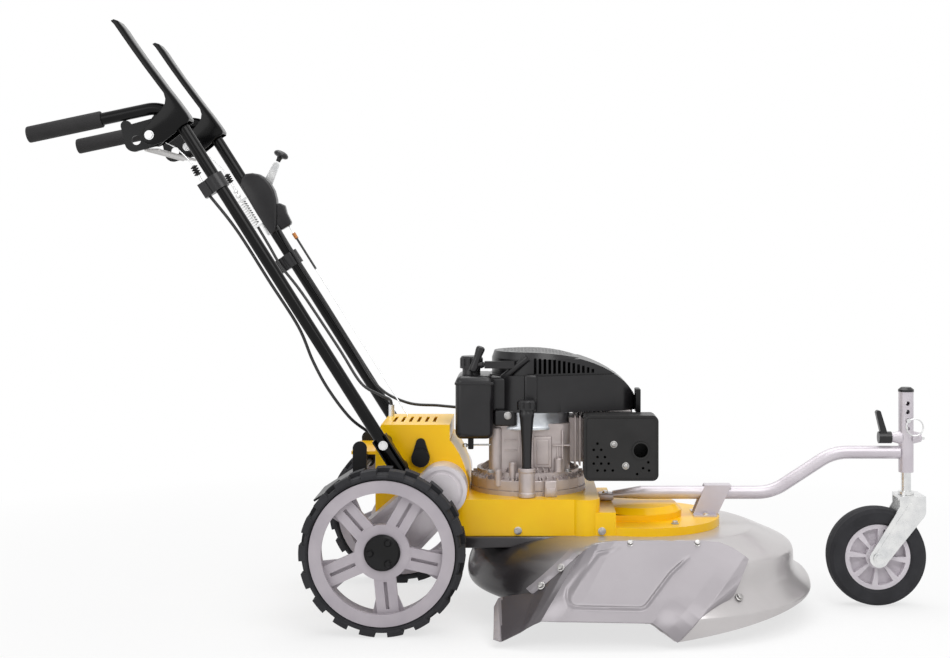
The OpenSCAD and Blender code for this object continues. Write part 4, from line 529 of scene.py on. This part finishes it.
hex_bolt, dome_bolt = bolt(10, 5), bolt(9, 4, dome=True)
PANEL_OUT = Vector((0, -0.65, 0.76))
FIN_OUT = Vector((-0.42, -0.7, 0.58))
BOLTS = [
    ("panel_bolt_rear", hex_bolt, (465, -209, 164.6), PANEL_OUT),
    ("panel_bolt_front", hex_bolt, (592, -209, 164.6), PANEL_OUT),
    ("fin_bolt_upper", hex_bolt, (332, -288, 136), FIN_OUT),
    ("fin_bolt_lower", hex_bolt, (296, -284, 102), FIN_OUT),
    ("rim_bolt", hex_bolt, (661, -277, 79), (0.35, -0.6, 0.72)),
    ("chassis_bolt_rear", hex_bolt, (253, -150, 178), (0, -1, 0)),
    ("chassis_bolt_front", hex_bolt, (415, -150, 177), (0, -1, 0)),
    ("chassis_bolt_far", hex_bolt, (253, 150, 178), (0, 1, 0)),
    ("cover_bolt_right", hex_bolt, (560, -112, 184), (0, 0, 1)),
    ("cover_bolt_left", hex_bolt, (560, 112, 184), (0, 0, 1)),
    ("cover_bolt_front", hex_bolt, (632, 62, 184), (0, 0, 1)),
    ("cowl_bolt", hex_bolt, (233, -88, 393), (0, -1, 0)),
    ("flange_bolt_rear", hex_bolt, (199, -92, 281), (0, 0, 1)),
    ("flange_bolt_front", hex_bolt, (352, -80, 281), (0, 0, 1)),
    ("muffler_bolt_upper", dome_bolt, (438.8, -136, 342.5), (0, -1, 0)),
    ("muffler_bolt_lower", dome_bolt, (461.7, -136, 300.8), (0, -1, 0)),
]
for name, model, where, out in BOLTS:
    settle(stand(copy_of(model), mm(*where), out), name, bolt_zinc)
for model in (hex_bolt, dome_bolt):
    bpy.data.objects.remove(model)


# Deck and side deflector
SPINDLE_X = 500
DECK_WALL, DEFLECTOR_WALL, FLANGE_WALL = 2.4, 2.2, 2
FRONT_LINE = [(43, 168), (150, 168), (214, 168), (232, 164.5), (262, 152), (286, 141.5), (298, 135),
              (304, 128), (306, 118), (306.5, 104), (308, 93), (313, 84), (325, 70), (336, 58), (340.4, 52)]
REAR_LINE = [(43, 168), (150, 168), (222, 168), (258, 164), (284, 157), (306, 147), (323, 135), (336, 120),
             (344, 104), (347.5, 90), (348.5, 79), (347, 69), (343, 62), (337, 58.5), (331, 58)]

# The rim's lower edge is level, and dips to a tip beside the chute
RIM_Z, TIP_Z = 52, 12
DIP_START, TIP_X, DIP_END = 492, 538, 841


def low_edge(x, y):
    """Height of the rim's lower edge at a place."""
    if y > 0 or x < DIP_START:
        return RIM_Z
    if x < TIP_X:
        return RIM_Z - (RIM_Z - TIP_Z) * (x - DIP_START) / (TIP_X - DIP_START)
    return TIP_Z + (RIM_Z - TIP_Z) * (x - TIP_X) / (DIP_END - TIP_X)


# Headings in degrees from straight ahead, over which the front outline turns into the rear one, and the
# rim beside the chute into the flatter rim across the front and on the left
TO_REAR, TO_LEFT = (92, 124), (-16, 8)
RIM_LIFT, RIM_REACH = 15, (308, 338)
WALL_SHARE, RIM_CURL = 0.94, 4


def deck_place(turn_share, line_share):
    """A place on the deck: a share of the way round, and one down its outline to the rim's lower edge."""
    angle = -2 * math.pi * turn_share
    heading = math.degrees(math.atan2(math.sin(angle), math.cos(angle)))
    rear = soft_step(abs(heading), *TO_REAR)
    flatter = RIM_LIFT * soft_step(heading, *TO_LEFT) * (1 - rear)
    at = min(line_share / WALL_SHARE, 1)
    r, z = through(FRONT_LINE, at).lerp(through(REAR_LINE, at), rear)
    z += flatter * soft_step(r, *RIM_REACH)
    if line_share > WALL_SHARE:
        edge = (line_share - WALL_SHARE) / (1 - WALL_SHARE)
        x, y = SPINDLE_X + r * math.cos(angle), r * math.sin(angle)
        z = z + (low_edge(x, y) + flatter - z) * edge * (1 - rear)
        r = r - RIM_CURL * edge * rear
    return SPINDLE_X + r * math.cos(angle), r * math.sin(angle), z


# Columns of the deflector from its rear lip to its front gusset: share along it, lower end, upper end
# and share of the bulge, which is how far the sheet swells out at shares of its height
FOLD, BEAD_END, FRONT_FOLD = 0.22, 0.85, 0.91
FIN_FOLD = ((294, -340, 51), (366, -266, 154))
GUSSET_FOLD = ((541, -340.6, 12), (678, -235, 147))
COLUMNS = [
    (0.0, (209, -330, 17), (208, -236, 52), 0),
    (0.03, (222, -332, 13), (216, -217, 64), 0),
    (0.05, (232, -333.5, 18), (230, -228, 70), 0),
    (0.12, (257, -337, 31), (284, -273, 88), 0),
    (0.155, (268, -338, 38), (312, -287, 113), 0.07),
    (0.19, (281, -339, 45), (340, -283, 136), 0.15),
    (FOLD, *FIN_FOLD, 0.15),
    (0.27, (312, -340.4, 51), (382, -243, 163), 0.07),
    (0.33, (330, -340.4, 50.5), (405, -219, 167), 0),
    (0.39, (352, -340.4, 50.5), (437, -206, 169.5), 0),
    (0.74, (495, -340.4, 48), (600, -206, 169.5), 0),
    (0.79, (507, -340.6, 39), (632, -208, 168), 0.33),
    (BEAD_END, (520, -340.6, 29), (656, -218, 160), 0.67),
    (FRONT_FOLD, *GUSSET_FOLD, 1),
    (1.0, (650, -283, 84), (684, -240, 142), 0.3),
]
BULGE = [(0, 0), (0.1, 9), (0.2, 16.5), (0.3, 21.5), (0.4, 21), (0.5, 18.5), (0.6, 16.5), (0.7, 14.5),
         (0.85, 10), (0.95, 5), (1, 0)]
# The pressed bead runs through places in x and out to the right; the slant is the panel's length for each
# step out
BEAD_LINE = [(453.6, 212), (402, 234), (345, 300), (343, 308), (348, 315), (356, 318), (474, 319),
             (483, 317), (490, 311), (535, 263), (580, 229)]
BEAD_HIGH, BEAD_WIDE = 3.2, 3.6
PANEL_NORMAL = Vector((0, -0.649, 0.761))
SLANT = 1.315


def bead_rise(x, y):
    """How far the pressed bead stands out of the panel near a place, fading at its two upper ends."""
    spot = Vector((x, -y * SLANT))
    near, where = 1e9, 0
    for i, (a, b) in enumerate(zip(BEAD_LINE, BEAD_LINE[1:])):
        a, b = Vector((a[0], a[1] * SLANT)), Vector((b[0], b[1] * SLANT))
        share = min(max((spot - a).dot(b - a) / (b - a).length_squared, 0), 1)
        gap = (a.lerp(b, share) - spot).length
        if gap < near:
            near, where = gap, i + share
    fade = soft_step(where, 0, 0.9) * soft_step(len(BEAD_LINE) - 1 - where, 0, 0.6)
    return BEAD_HIGH * fade * math.exp(-(near / BEAD_WIDE) ** 2)


def deflector_place(along, up):
    """A place on the deflector, at shares of the way along it and up it."""
    for (p, low_a, top_a, out_a), (q, low_b, top_b, out_b) in zip(COLUMNS, COLUMNS[1:]):
        if along <= q:
            break
    t = (along - p) / (q - p)
    low, top = Vector(low_a).lerp(Vector(low_b), t), Vector(top_a).lerp(Vector(top_b), t)
    spot = low.lerp(top, up)
    for (p, rise_a), (q, rise_b) in zip(BULGE, BULGE[1:]):
        if up <= q:
            break
    spot.y -= (out_a + (out_b - out_a) * t) * (rise_a + (rise_b - rise_a) * (up - p) / (q - p))
    if FOLD < along < BEAD_END:
        spot += PANEL_NORMAL * bead_rise(spot.x, spot.y)
    return spot


def ahead_of(fold, spot):
    """How far a place lies ahead of a fold line in the side view, in metres."""
    low, top = mm(*fold[0]), mm(*fold[1])
    return spot.x - low.x - (top.x - low.x) * (spot.z - low.z) / (top.z - low.z)


deflector = pressed(240, 96, deflector_place, DEFLECTOR_WALL)
covering = [p.vertices for p in deflector.data.polygons if ahead_of(GUSSET_FOLD, p.center) < 0.001]
back_of_panel = BVHTree.FromPolygons([v.co for v in deflector.data.vertices], covering)


# How far to the right the deflector and its chute begin, and the gap behind the deflector, which widens
# away from the gusset's fold, all in metres
BEHIND_Y, CHUTE_Y = -0.15, -0.2
FOLD_GAP, MORE_GAP, GAP_WIDENS = 0.0006, 0.004, (0.002, 0.03)


def behind_deflector(turn_share, line_share):
    """A place on the deck, drawn back where the deflector lies over it."""
    spot = mm(*deck_place(turn_share, line_share))
    if spot.y < BEHIND_Y:
        cover = back_of_panel.ray_cast(spot + PANEL_NORMAL * 0.5, -PANEL_NORMAL)[0]
        gap = FOLD_GAP + MORE_GAP * soft_step(-ahead_of(GUSSET_FOLD, spot), *GAP_WIDENS)
        if cover and (cover - spot).dot(PANEL_NORMAL) < gap:
            spot = cover - PANEL_NORMAL * gap
    return spot.x * 1000 - FRAME_X, spot.y * 1000, spot.z * 1000


# The chute's opening: where its ends meet the deck's top, and how far they slant back with each step down
CHUTE_TOP_Z, CHUTE_SLANT, CHUTE_DROP = 171, 0.853, 14
CHUTE_REAR_X, CHUTE_FRONT_X = 445, 585


def chute_mouth(spot):
    """True inside the opening that the deflector covers."""
    drop = CHUTE_TOP_Z - spot.z * 1000
    x = spot.x * 1000 - FRAME_X + CHUTE_SLANT * drop
    return spot.y < CHUTE_Y and CHUTE_REAR_X < x < CHUTE_FRONT_X and drop > CHUTE_DROP


deck = pressed(240, 80, behind_deflector, DECK_WALL, merged=True, hole=chute_mouth)
BOSS_LINE = [(13, 128), (42, 128), (42, 176), (40, 178), (13, 178), (13, 128)]
boss = placed(turned(BOSS_LINE, 48), SPINDLE_X, 0, 0)
pan = block(140, 335, -160, 160, 146, 167.6, 3, 3)
# The deck takes the silver with painted shade at its rear
settle(joined(deck, boss, pan), "pressed_deck", deck_silver, nodes=("deck_shell",), angle=40)
# The deflector takes the panel's darker silver, painted shade
settle(deflector, "folded_deflector", panel_silver_painted_shade, nodes=("side_deflector",), angle=28)
# The fin's faces ahead of the lip fold take the darker copy, which is painted shade
deflector.data.materials.append(fin_silver_painted_shade)
LIP_FOLD_X = 223
for face in deflector.data.polygons:
    if ahead_of(FIN_FOLD, face.center) < 0 and face.center.x > mm(LIP_FOLD_X, 0, 0).x:
        face.material_index = 1

# Bolted flange along the fin's upper edge
FLANGE = [(280, 84), (312, 113), (340, 136), (364, 153)]
FLANGE_WIDE = Vector((-12, 8))
FLANGE_PROUD, FLANGE_CROWN = 2.5, 2


def bowl_y(x, z):
    """Where the rounded rear of the deck lies, at a place in the side view."""
    for (r, high), (q, low) in zip(REAR_LINE, REAR_LINE[1:]):
        if high >= z >= low and high > low:
            break
    reach = r + (q - r) * (high - z) / (high - low)
    return -math.sqrt(max(reach ** 2 - (SPINDLE_X - x) ** 2, 1))


def flange_place(along, up):
    """A place on the flange, a strip over the bowl with a low crown along its middle."""
    x, z = through(FLANGE, along) + FLANGE_WIDE * up
    return x, bowl_y(x, z) - FLANGE_PROUD - FLANGE_CROWN * (1 - abs(2 * up - 1)), z


# The flange takes the panel's darker silver, painted shade
settle(pressed(40, 8, flange_place, FLANGE_WALL), "fin_flange", panel_silver_painted_shade, angle=40)


# Fuel tank with its seam and neck, and the starter handle
NECK_LINE = [(15, -6), (19, -6), (19, 0), (18, 1.5), (18, 11.8), (15, 11.8)]
tank_body = block(130, 204, -106, 34, 348, 472, 13, 6)
tank_seam = block(128.8, 205.2, -107.2, 35.2, 455, 460, 1.2, 2)
tank = joined(tank_body, tank_seam, placed(turned(NECK_LINE, 40), 160, -50, 472))
settle(tank, "tank_moulding", moulded_black, nodes=("fuel_tank",))
STARTER_Y, STARTER_TILT = -84, math.radians(70)
BAR_LINE = [(0, -27), (5.6, -26.4), (8.2, -24.2), (9, -20.5), (8.6, -16), (7.6, -8), (7.3, 0), (7.6, 8),
            (8.6, 16), (9, 20.5), (8.2, 24.2), (5.6, 26.4), (0, 27)]
STEM_LINE = [(0, 0), (4.8, 0), (5.5, 0.8), (5.5, 3), (4.4, 4.5), (4.4, 10), (5.2, 15), (0, 17)]
bar = stand(turned(BAR_LINE, 32), mm(171.6, STARTER_Y, 504),
            (math.cos(STARTER_TILT), 0, math.sin(STARTER_TILT)))
stem = stand(turned(STEM_LINE, 28), mm(186.6, STARTER_Y, 493), (-1, 0, 0))
settle(joined(bar, stem), "starter_handle", moulded_black, body="starter",
       nodes=("starter_grip",))
cord_root, cord_end = mm(193, STARTER_Y, 493), mm(177, STARTER_Y, 495)
CORD_STEPS = 30
cord = swept([cord_root.lerp(cord_end, i / CORD_STEPS) for i in range(CORD_STEPS + 1)], 1.7, 4)
settle(cord, "starter_cord", grip_rubber, body=None)
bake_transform(cord)


# Crankcase castings: bosses, ribs, panel, filler boss and lug
ENGINE_X = 273
FILLER_X, FILLER_Y = 270, -122
FILLER_BOSS = [(15.2, 239), (17, 239), (17, 246), (15.7, 248), (15.7, 286), (17, 288), (17, 293.5),
               (16.2, 294.5), (10.2, 294.5)]
# Corners in x, y and z, then the edges' radius and its steps
CASE_BLOCKS = [
    (284, 320, -78.5, -72, 288, 351, 3, 3),
    (289, 315, -80, -74, 294, 345, 2.5, 3),
    (226, 250, -76.5, -72, 341.6, 344.4, 1, 2),
    (226, 250, -76.5, -72, 321.6, 324.4, 1, 2),
    (339.5, 342.5, -81, -72, 282, 364, 1, 2),
    (322, 356, -79.5, -72, 331.5, 334.5, 1, 2),
    (330, 333, -78.5, -72, 282, 332, 1, 2),
    (254, 257, -78.5, -72, 284, 372, 1, 2),
    (305, 329, -124, -104, 234, 270, 3, 3),
    (308, 326, -126, -118, 238, 256, 2, 2),
]
# Place in x and y, outline of radius and height, then steps round it
CASE_BOSSES = [
    (211, -66, [(0, 281), (13, 281), (13, 366), (11.5, 368), (0, 368)], 32),
    (243, -95, [(0, 256), (9, 256), (9, 266), (7.5, 268), (7.5, 301), (6.5, 302.5), (0, 302.5)], 28),
    (214, -96, [(0, 256), (7, 256), (7, 286), (5, 288), (0, 288)], 24),
    (FILLER_X, FILLER_Y, FILLER_BOSS, 40),
    (333, -78, [(0, 281), (9, 281), (9, 306), (7.5, 308), (0, 308)], 28),
]
case_parts = [block(*corners) for corners in CASE_BLOCKS]
case_parts += [placed(turned(line, steps), x, y, 0) for x, y, line, steps in CASE_BOSSES]
settle(joined(*case_parts), "case_castings", cast_alu, angle=30)
FILLER_LINE = [(0, 256), (15, 256), (15, 288), (9.5, 291), (9.2, 302), (9.7, 330), (10.9, 355), (12.4, 378),
               (13.7, 393), (14.6, 397), (14.6, 403), (13.2, 405), (13.2, 408.6), (0, 408.6)]
filler = placed(turned(FILLER_LINE, 36), FILLER_X, FILLER_Y, 0)
settle(filler, "filler_tube", moulded_black, nodes=("dipstick_tube",))

# Ribs round the base flange, each cut off at a slant, on their ledge
RIBS = 44
RIB_REACH = 113.5
rib = block(-1.2, 1.2, -RIB_REACH, -84, 0, 24, 0.7, 2)
ribs = []
for i in range(RIBS):
    twin = copy_of(rib)
    only(twin)
    spin = Matrix.Rotation(2 * math.pi * (i + 0.5) / RIBS, 4, "Z")
    twin.matrix_world = Matrix.Translation(mm(ENGINE_X, 0, 266)) @ spin @ Matrix.Translation(-mm(0, 0, 0))
    bpy.ops.object.transform_apply(location=True, rotation=True, scale=True)
    bpy.ops.object.mode_set(mode="EDIT")
    bpy.ops.mesh.select_all(action="SELECT")
    outward = spin @ Vector((0, -1, 0))
    bpy.ops.mesh.bisect(plane_co=mm(ENGINE_X, 0, 268) + outward * RIB_REACH / 1000,
                        plane_no=outward * 0.66 + Vector((0, 0, 0.88)), clear_outer=True, use_fill=True)
    bpy.ops.object.mode_set(mode="OBJECT")
    ribs.append(twin)
bpy.data.objects.remove(rib)
LEDGE_LINE = [(101, 247), (113.6, 247), (114.8, 248.2), (114.8, 266), (113.6, 267.6), (101, 267.6),
              (101, 247)]
ledge = placed(turned(LEDGE_LINE, 96), ENGINE_X, 0, 0)
settle(joined(ledge, *ribs), "flange_ribs", cast_alu, angle=30)
BAND_LINE = [(79.6, 363), (84.6, 363), (85.2, 364), (85.2, 368), (84.2, 369.5), (84.2, 392), (85.2, 393.5),
             (85.2, 398.8), (79.6, 398.8), (79.6, 363)]
settle(placed(turned(BAND_LINE, 72), ENGINE_X, 0, 0), "bright_band", galvanised)


# Blower housing mouldings and the heat plate
cowl_parts = [
    block(265, 291, -104, -90, 399.5, 474, 5, 4),
    swept([mm(272, -90, 507), mm(247, -84, 486), mm(222, -66, 464)], 7.5, 5),
    block(206, 250, -88, -66, 372, 403, 4, 3),
    block(196, 240, -76, -40, 396, 470, 10, 4),
]
settle(joined(*cowl_parts), "cowl_mouldings", moulded_black)
settle(block(487, 497, -64, -24, 396, 443, 2, 2), "heat_plate", black_plate)


# Governor link under the tank
rod = swept([mm(146, -72, 333), mm(170, -70, 333), mm(198, -68, 333)], 1.8, 4)
eye = placed(turned([(0, -2), (4.5, -2), (5, -1), (5, 4), (4, 5), (0, 5)], 20), 148, -72, 331)
settle(joined(rod, eye), "governor_link", zinc)
settle(block(154, 165, -78, -66, 325, 352, 2, 2), "governor_bracket", black_plate)


# Cable adjusters with their boots, one to each lever
BOOT_FOLDS, BOOT_PITCH = 4, 5
boot_line = [(0, 0), (3.4, 0)]
for i in range(BOOT_FOLDS):
    low = i * BOOT_PITCH
    boot_line += [(3.6, low + 0.6), (7.2, low + 2), (7.2, low + 3.4), (3.6, low + 4.8)]
boot_line += [(3.2, 20.6), (0, 20.6)]
NUT_LINE = [(0, 0), (5.5, 0), (5.8, 0.6), (5.8, 7), (5.2, 7.6), (0, 7.6)]
LOCK_NUT_LINE = [(0, 0), (5, 0), (5.3, 0.6), (5.3, 4), (4.8, 4.6), (0, 4.6)]
up = Vector((-33, 0, 61)).normalized()
for side_name, y in SIDES:
    foot = Vector((-341, y, 826))
    nut = stand(turned(NUT_LINE, 6), mm(*(foot + up * 6)), up)
    lock_nut = stand(turned(LOCK_NUT_LINE, 6), mm(*(foot + up * 18)), up)
    screw = swept([mm(*foot), mm(*(foot + up * 46))], 2.2, 5)
    settle(joined(screw, nut, lock_nut), "adjuster_" + side_name, zinc)
    boot = stand(turned(boot_line, 24), mm(*(foot + up * 42)), up)
    settle(boot, "adjuster_boot_" + side_name, grip_rubber)
    boot_top = foot + up * 60
    wire = swept(routed([boot_top, (-384, y, 897), (-404, y, 915), (-424, y, 926)]), 1.2, 4)
    settle(wire, "lever_wire_" + side_name, zinc, body=None)
    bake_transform(wire)


# Levers: bent-edge channels over the handle tubes
PIVOT = Vector((-450, 938.5))
UPPER_EDGE = [(-74.6, 218.6), (-68.6, 221.4), (-60, 218.4), (-48.6, 204.4), (-33.4, 181.6), (-10.6, 149.3),
              (12.2, 118.9), (35, 88.5), (50.2, 69.5), (61.5, 54.3), (71, 41), (75.6, 32.5)]
LOWER_EDGE = [(74.6, 26.4), (61.5, 18.2), (46.4, 3), (27.4, -12.2), (8.4, -19.4), (-3, -18.4),
              (-12.2, -10.3), (-14.4, 1.1), (-8.7, 14.4), (8.4, 33.4), (21.7, 48.6), (28.6, 59), (30, 69.5),
              (26.6, 80.9), (12.2, 99.9), (-10.6, 130.3), (-33.4, 161.9), (-52.4, 189.2), (-67.6, 211.2)]
HOLLOW = [(-62.4, 211), (-51.4, 202.3), (-36, 179.8), (-13, 147.5), (9.8, 117), (32.6, 86.6), (47.8, 67.6),
          (59, 52.4), (68.4, 39.4), (73, 30), (100, 0), (40, -50), (-40, -40), (-40, 40), (-5, 75),
          (-30, 120), (-85, 190)]
LEVER_HALF, HOLLOW_HALF, LEVER_EDGE, BORE_R = 22, 19, 1.8, 5.6
for side_name, y in SIDES:
    channel = cut_out([PIVOT + Vector(p) for p in UPPER_EDGE + LOWER_EDGE], y - LEVER_HALF, y + LEVER_HALF,
                      LEVER_EDGE)
    hollow = cut_out([PIVOT + Vector(p) for p in HOLLOW], y - HOLLOW_HALF, y + HOLLOW_HALF)
    taken_out(channel, hollow)
    bpy.ops.object.select_all(action="DESELECT")
    bpy.ops.mesh.primitive_cylinder_add(vertices=32, radius=BORE_R / 1000, depth=0.06,
                                        location=mm(PIVOT.x, y, PIVOT.y), rotation=(math.pi / 2, 0, 0))
    taken_out(channel, bpy.context.object)
    settle(channel, "channel_lever_" + side_name, black_paint, body="lever_" + side_name,
           nodes=("lever_" + side_name,))


# Throttle housing on the left tube, with the outlet its cables leave by
HOUSING = [(-337, 872), (-327, 881.6), (-313, 883.4), (-299, 881), (-286, 873.4), (-275.4, 860.8),
           (-267, 846), (-262, 827), (-260.6, 806), (-261, 786), (-261, 768), (-264, 757), (-269, 751.8),
           (-276, 754), (-288, 771), (-303, 795), (-318, 820), (-331, 844), (-337.6, 857)]
OUTLET = [(-268, 816), (-256, 819.4), (-245, 814.6), (-240.8, 798), (-231.6, 779.4), (-232.4, 773.6),
          (-252, 762), (-268, 757)]
housing = cut_out(HOUSING, 143, 178.8, 5, 4)
outlet = cut_out(OUTLET, 149, 172, 3, 3)
lever_pin = swept([mm(-305.9, 170, 817.3), mm(-305.9, 188, 817.3)], 4.6, 6)
settle(joined(housing, outlet, lever_pin), "throttle_housing", moulded_black,
       nodes=("throttle_quadrant",))


# Cross plate between the two lever brackets, and the throttle's mushroom knob
CROSS_HALF = 157.5
cross = block(-464, -436, -CROSS_HALF, CROSS_HALF, 910.5, 914.5, 1.5, 2)
cross_rolls = [swept([mm(x, -CROSS_HALF, 911.5), mm(x, CROSS_HALF, 911.5)], 2.6, 5) for x in (-463, -437)]
settle(joined(cross, *cross_rolls), "cross_plate", bolt_zinc)
knob_low, knob_high = (Vector(corner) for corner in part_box("throttle_knob"))
lever_low, lever_high = (Vector(corner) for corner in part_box("throttle_lever"))
knob_out = (knob_low + knob_high) - (lever_low + lever_high)
knob_out.y = 0
KNOB_LINE = [(0, -15), (4.6, -15), (5, -14.4), (5.2, -9), (6.4, -5.6), (12.6, -4.2), (15.8, -1.6),
             (16.4, 1.6), (15, 4.8), (10.8, 7.8), (5.2, 9.2), (0, 9.6)]
mushroom = turned(KNOB_LINE, 40)
stand(mushroom, (knob_low + knob_high) / 2, knob_out.normalized())
settle(mushroom, "mushroom_knob", moulded_black, body="throttle", nodes=("throttle_knob",))


# Front arm: a round tube drawn flat where it is bolted down
ARM_CORNERS = [(500, 227.4), (767, 227.4), (892, 308.8), (1027, 308.8)]
ARM_R, ARM_BEND_R = 13.25, 100
arm = swept(bent(ARM_CORNERS, 0, ARM_BEND_R), ARM_R, 10)
bpy.ops.object.select_all(action="DESELECT")
bpy.ops.mesh.primitive_cylinder_add(vertices=44, radius=ARM_R / 1000, depth=0.056, location=(0, 0, 0),
                                    rotation=(0, math.pi / 2, 0))
tongue = bpy.context.object
tongue.location = mm(473, 0, ARM_CORNERS[0][1])
bpy.ops.object.transform_apply(location=True, rotation=True, scale=True)
pick(tongue, lambda co: co.x < mm(446, 0, 0).x)
bpy.ops.object.mode_set(mode="EDIT")
bpy.ops.transform.resize(value=(1, 1.28, 0.5), center_override=mm(445, 0, 220.5))
bpy.ops.object.mode_set(mode="OBJECT")
tongue_plate = block(415, 446, -17, 17, 213.4, 226.8, 3, 3)
settle(joined(arm, tongue, tongue_plate), "bent_arm", arm_silver, nodes=("front_arm",))


# Floor and light
def seen_directly(nodes, links):
    """A value of 1 for rays from the camera, off a gloss or through glass, which are shown plain white."""
    ray = nodes.new("ShaderNodeLightPath")
    value = ray.outputs["Is Camera Ray"]
    for kind in ("Is Glossy Ray", "Is Transmission Ray"):
        either = nodes.new("ShaderNodeMath")
        either.operation = "MAXIMUM"
        links.new(value, either.inputs[0])
        links.new(ray.outputs[kind], either.inputs[1])
        value = either.outputs["Value"]
    return value


def ramp(nodes, near, far, low, high):
    """A node that turns one range of values into another."""
    node = nodes.new("ShaderNodeMapRange")
    for name, value in (("From Min", near), ("From Max", far), ("To Min", low), ("To Max", high)):
        node.inputs[name].default_value = value
    return node


bpy.ops.object.select_all(action="DESELECT")
bpy.ops.mesh.primitive_plane_add(size=14, location=(0, 0, -0.0005))
floor = bpy.context.object
floor.name = "floor"
paper = bpy.data.materials.new("floor_paper")
paper.use_nodes = True
pn, pl = paper.node_tree.nodes, paper.node_tree.links
pn["Principled BSDF"].inputs["Base Color"].default_value = (0.9, 0.9, 0.9, 1)
pn["Principled BSDF"].inputs["Roughness"].default_value = 0.9
white = pn.new("ShaderNodeEmission")
white.inputs["Color"].default_value = (1, 1, 1, 1)
spot = pn.new("ShaderNodeTexCoord")
away = pn.new("ShaderNodeVectorMath")
away.operation = "LENGTH"
fade = ramp(pn, near=0.75, far=1.9, low=0.7, high=1.0)
share = pn.new("ShaderNodeMath")
share.operation = "MULTIPLY"
blend = pn.new("ShaderNodeMixShader")
pl.new(spot.outputs["Object"], away.inputs[0])
pl.new(away.outputs["Value"], fade.inputs["Value"])
pl.new(fade.outputs["Result"], share.inputs[0])
pl.new(seen_directly(pn, pl), share.inputs[1])
pl.new(share.outputs["Value"], blend.inputs["Fac"])
pl.new(pn["Principled BSDF"].outputs["BSDF"], blend.inputs[1])
pl.new(white.outputs["Emission"], blend.inputs[2])
pl.new(blend.outputs["Shader"], pn["Material Output"].inputs["Surface"])
floor.data.materials.append(paper)

world = bpy.data.worlds.new("studio")
bpy.context.scene.world = world
world.use_nodes = True
wn, wl = world.node_tree.nodes, world.node_tree.links
wn["Background"].inputs["Color"].default_value = (1, 1, 1, 1)
strength = ramp(wn, near=0, far=1, low=0.42, high=1.0)
wl.new(seen_directly(wn, wl), strength.inputs["Value"])
wl.new(strength.outputs["Result"], wn["Background"].inputs["Strength"])


def softbox(name, location, aim, size, power):
    """A square light of a size and power, aimed at a place."""
    bpy.ops.object.light_add(type="AREA", location=location)
    lamp = bpy.context.object
    lamp.name = name
    lamp.data.size = size
    lamp.data.energy = power
    lamp.rotation_euler = (Vector(aim) - Vector(location)).to_track_quat("-Z", "Y").to_euler()


softbox("key_light", (1.3, -2.5, 3.1), (0, 0, 0.4), 2.4, 56)
softbox("fill_light", (-2.3, -2.6, 1.6), (0, 0, 0.4), 2.2, 22)
softbox("top_light", (0.2, 0.6, 3.4), (0, 0, 0.3), 2.6, 52)
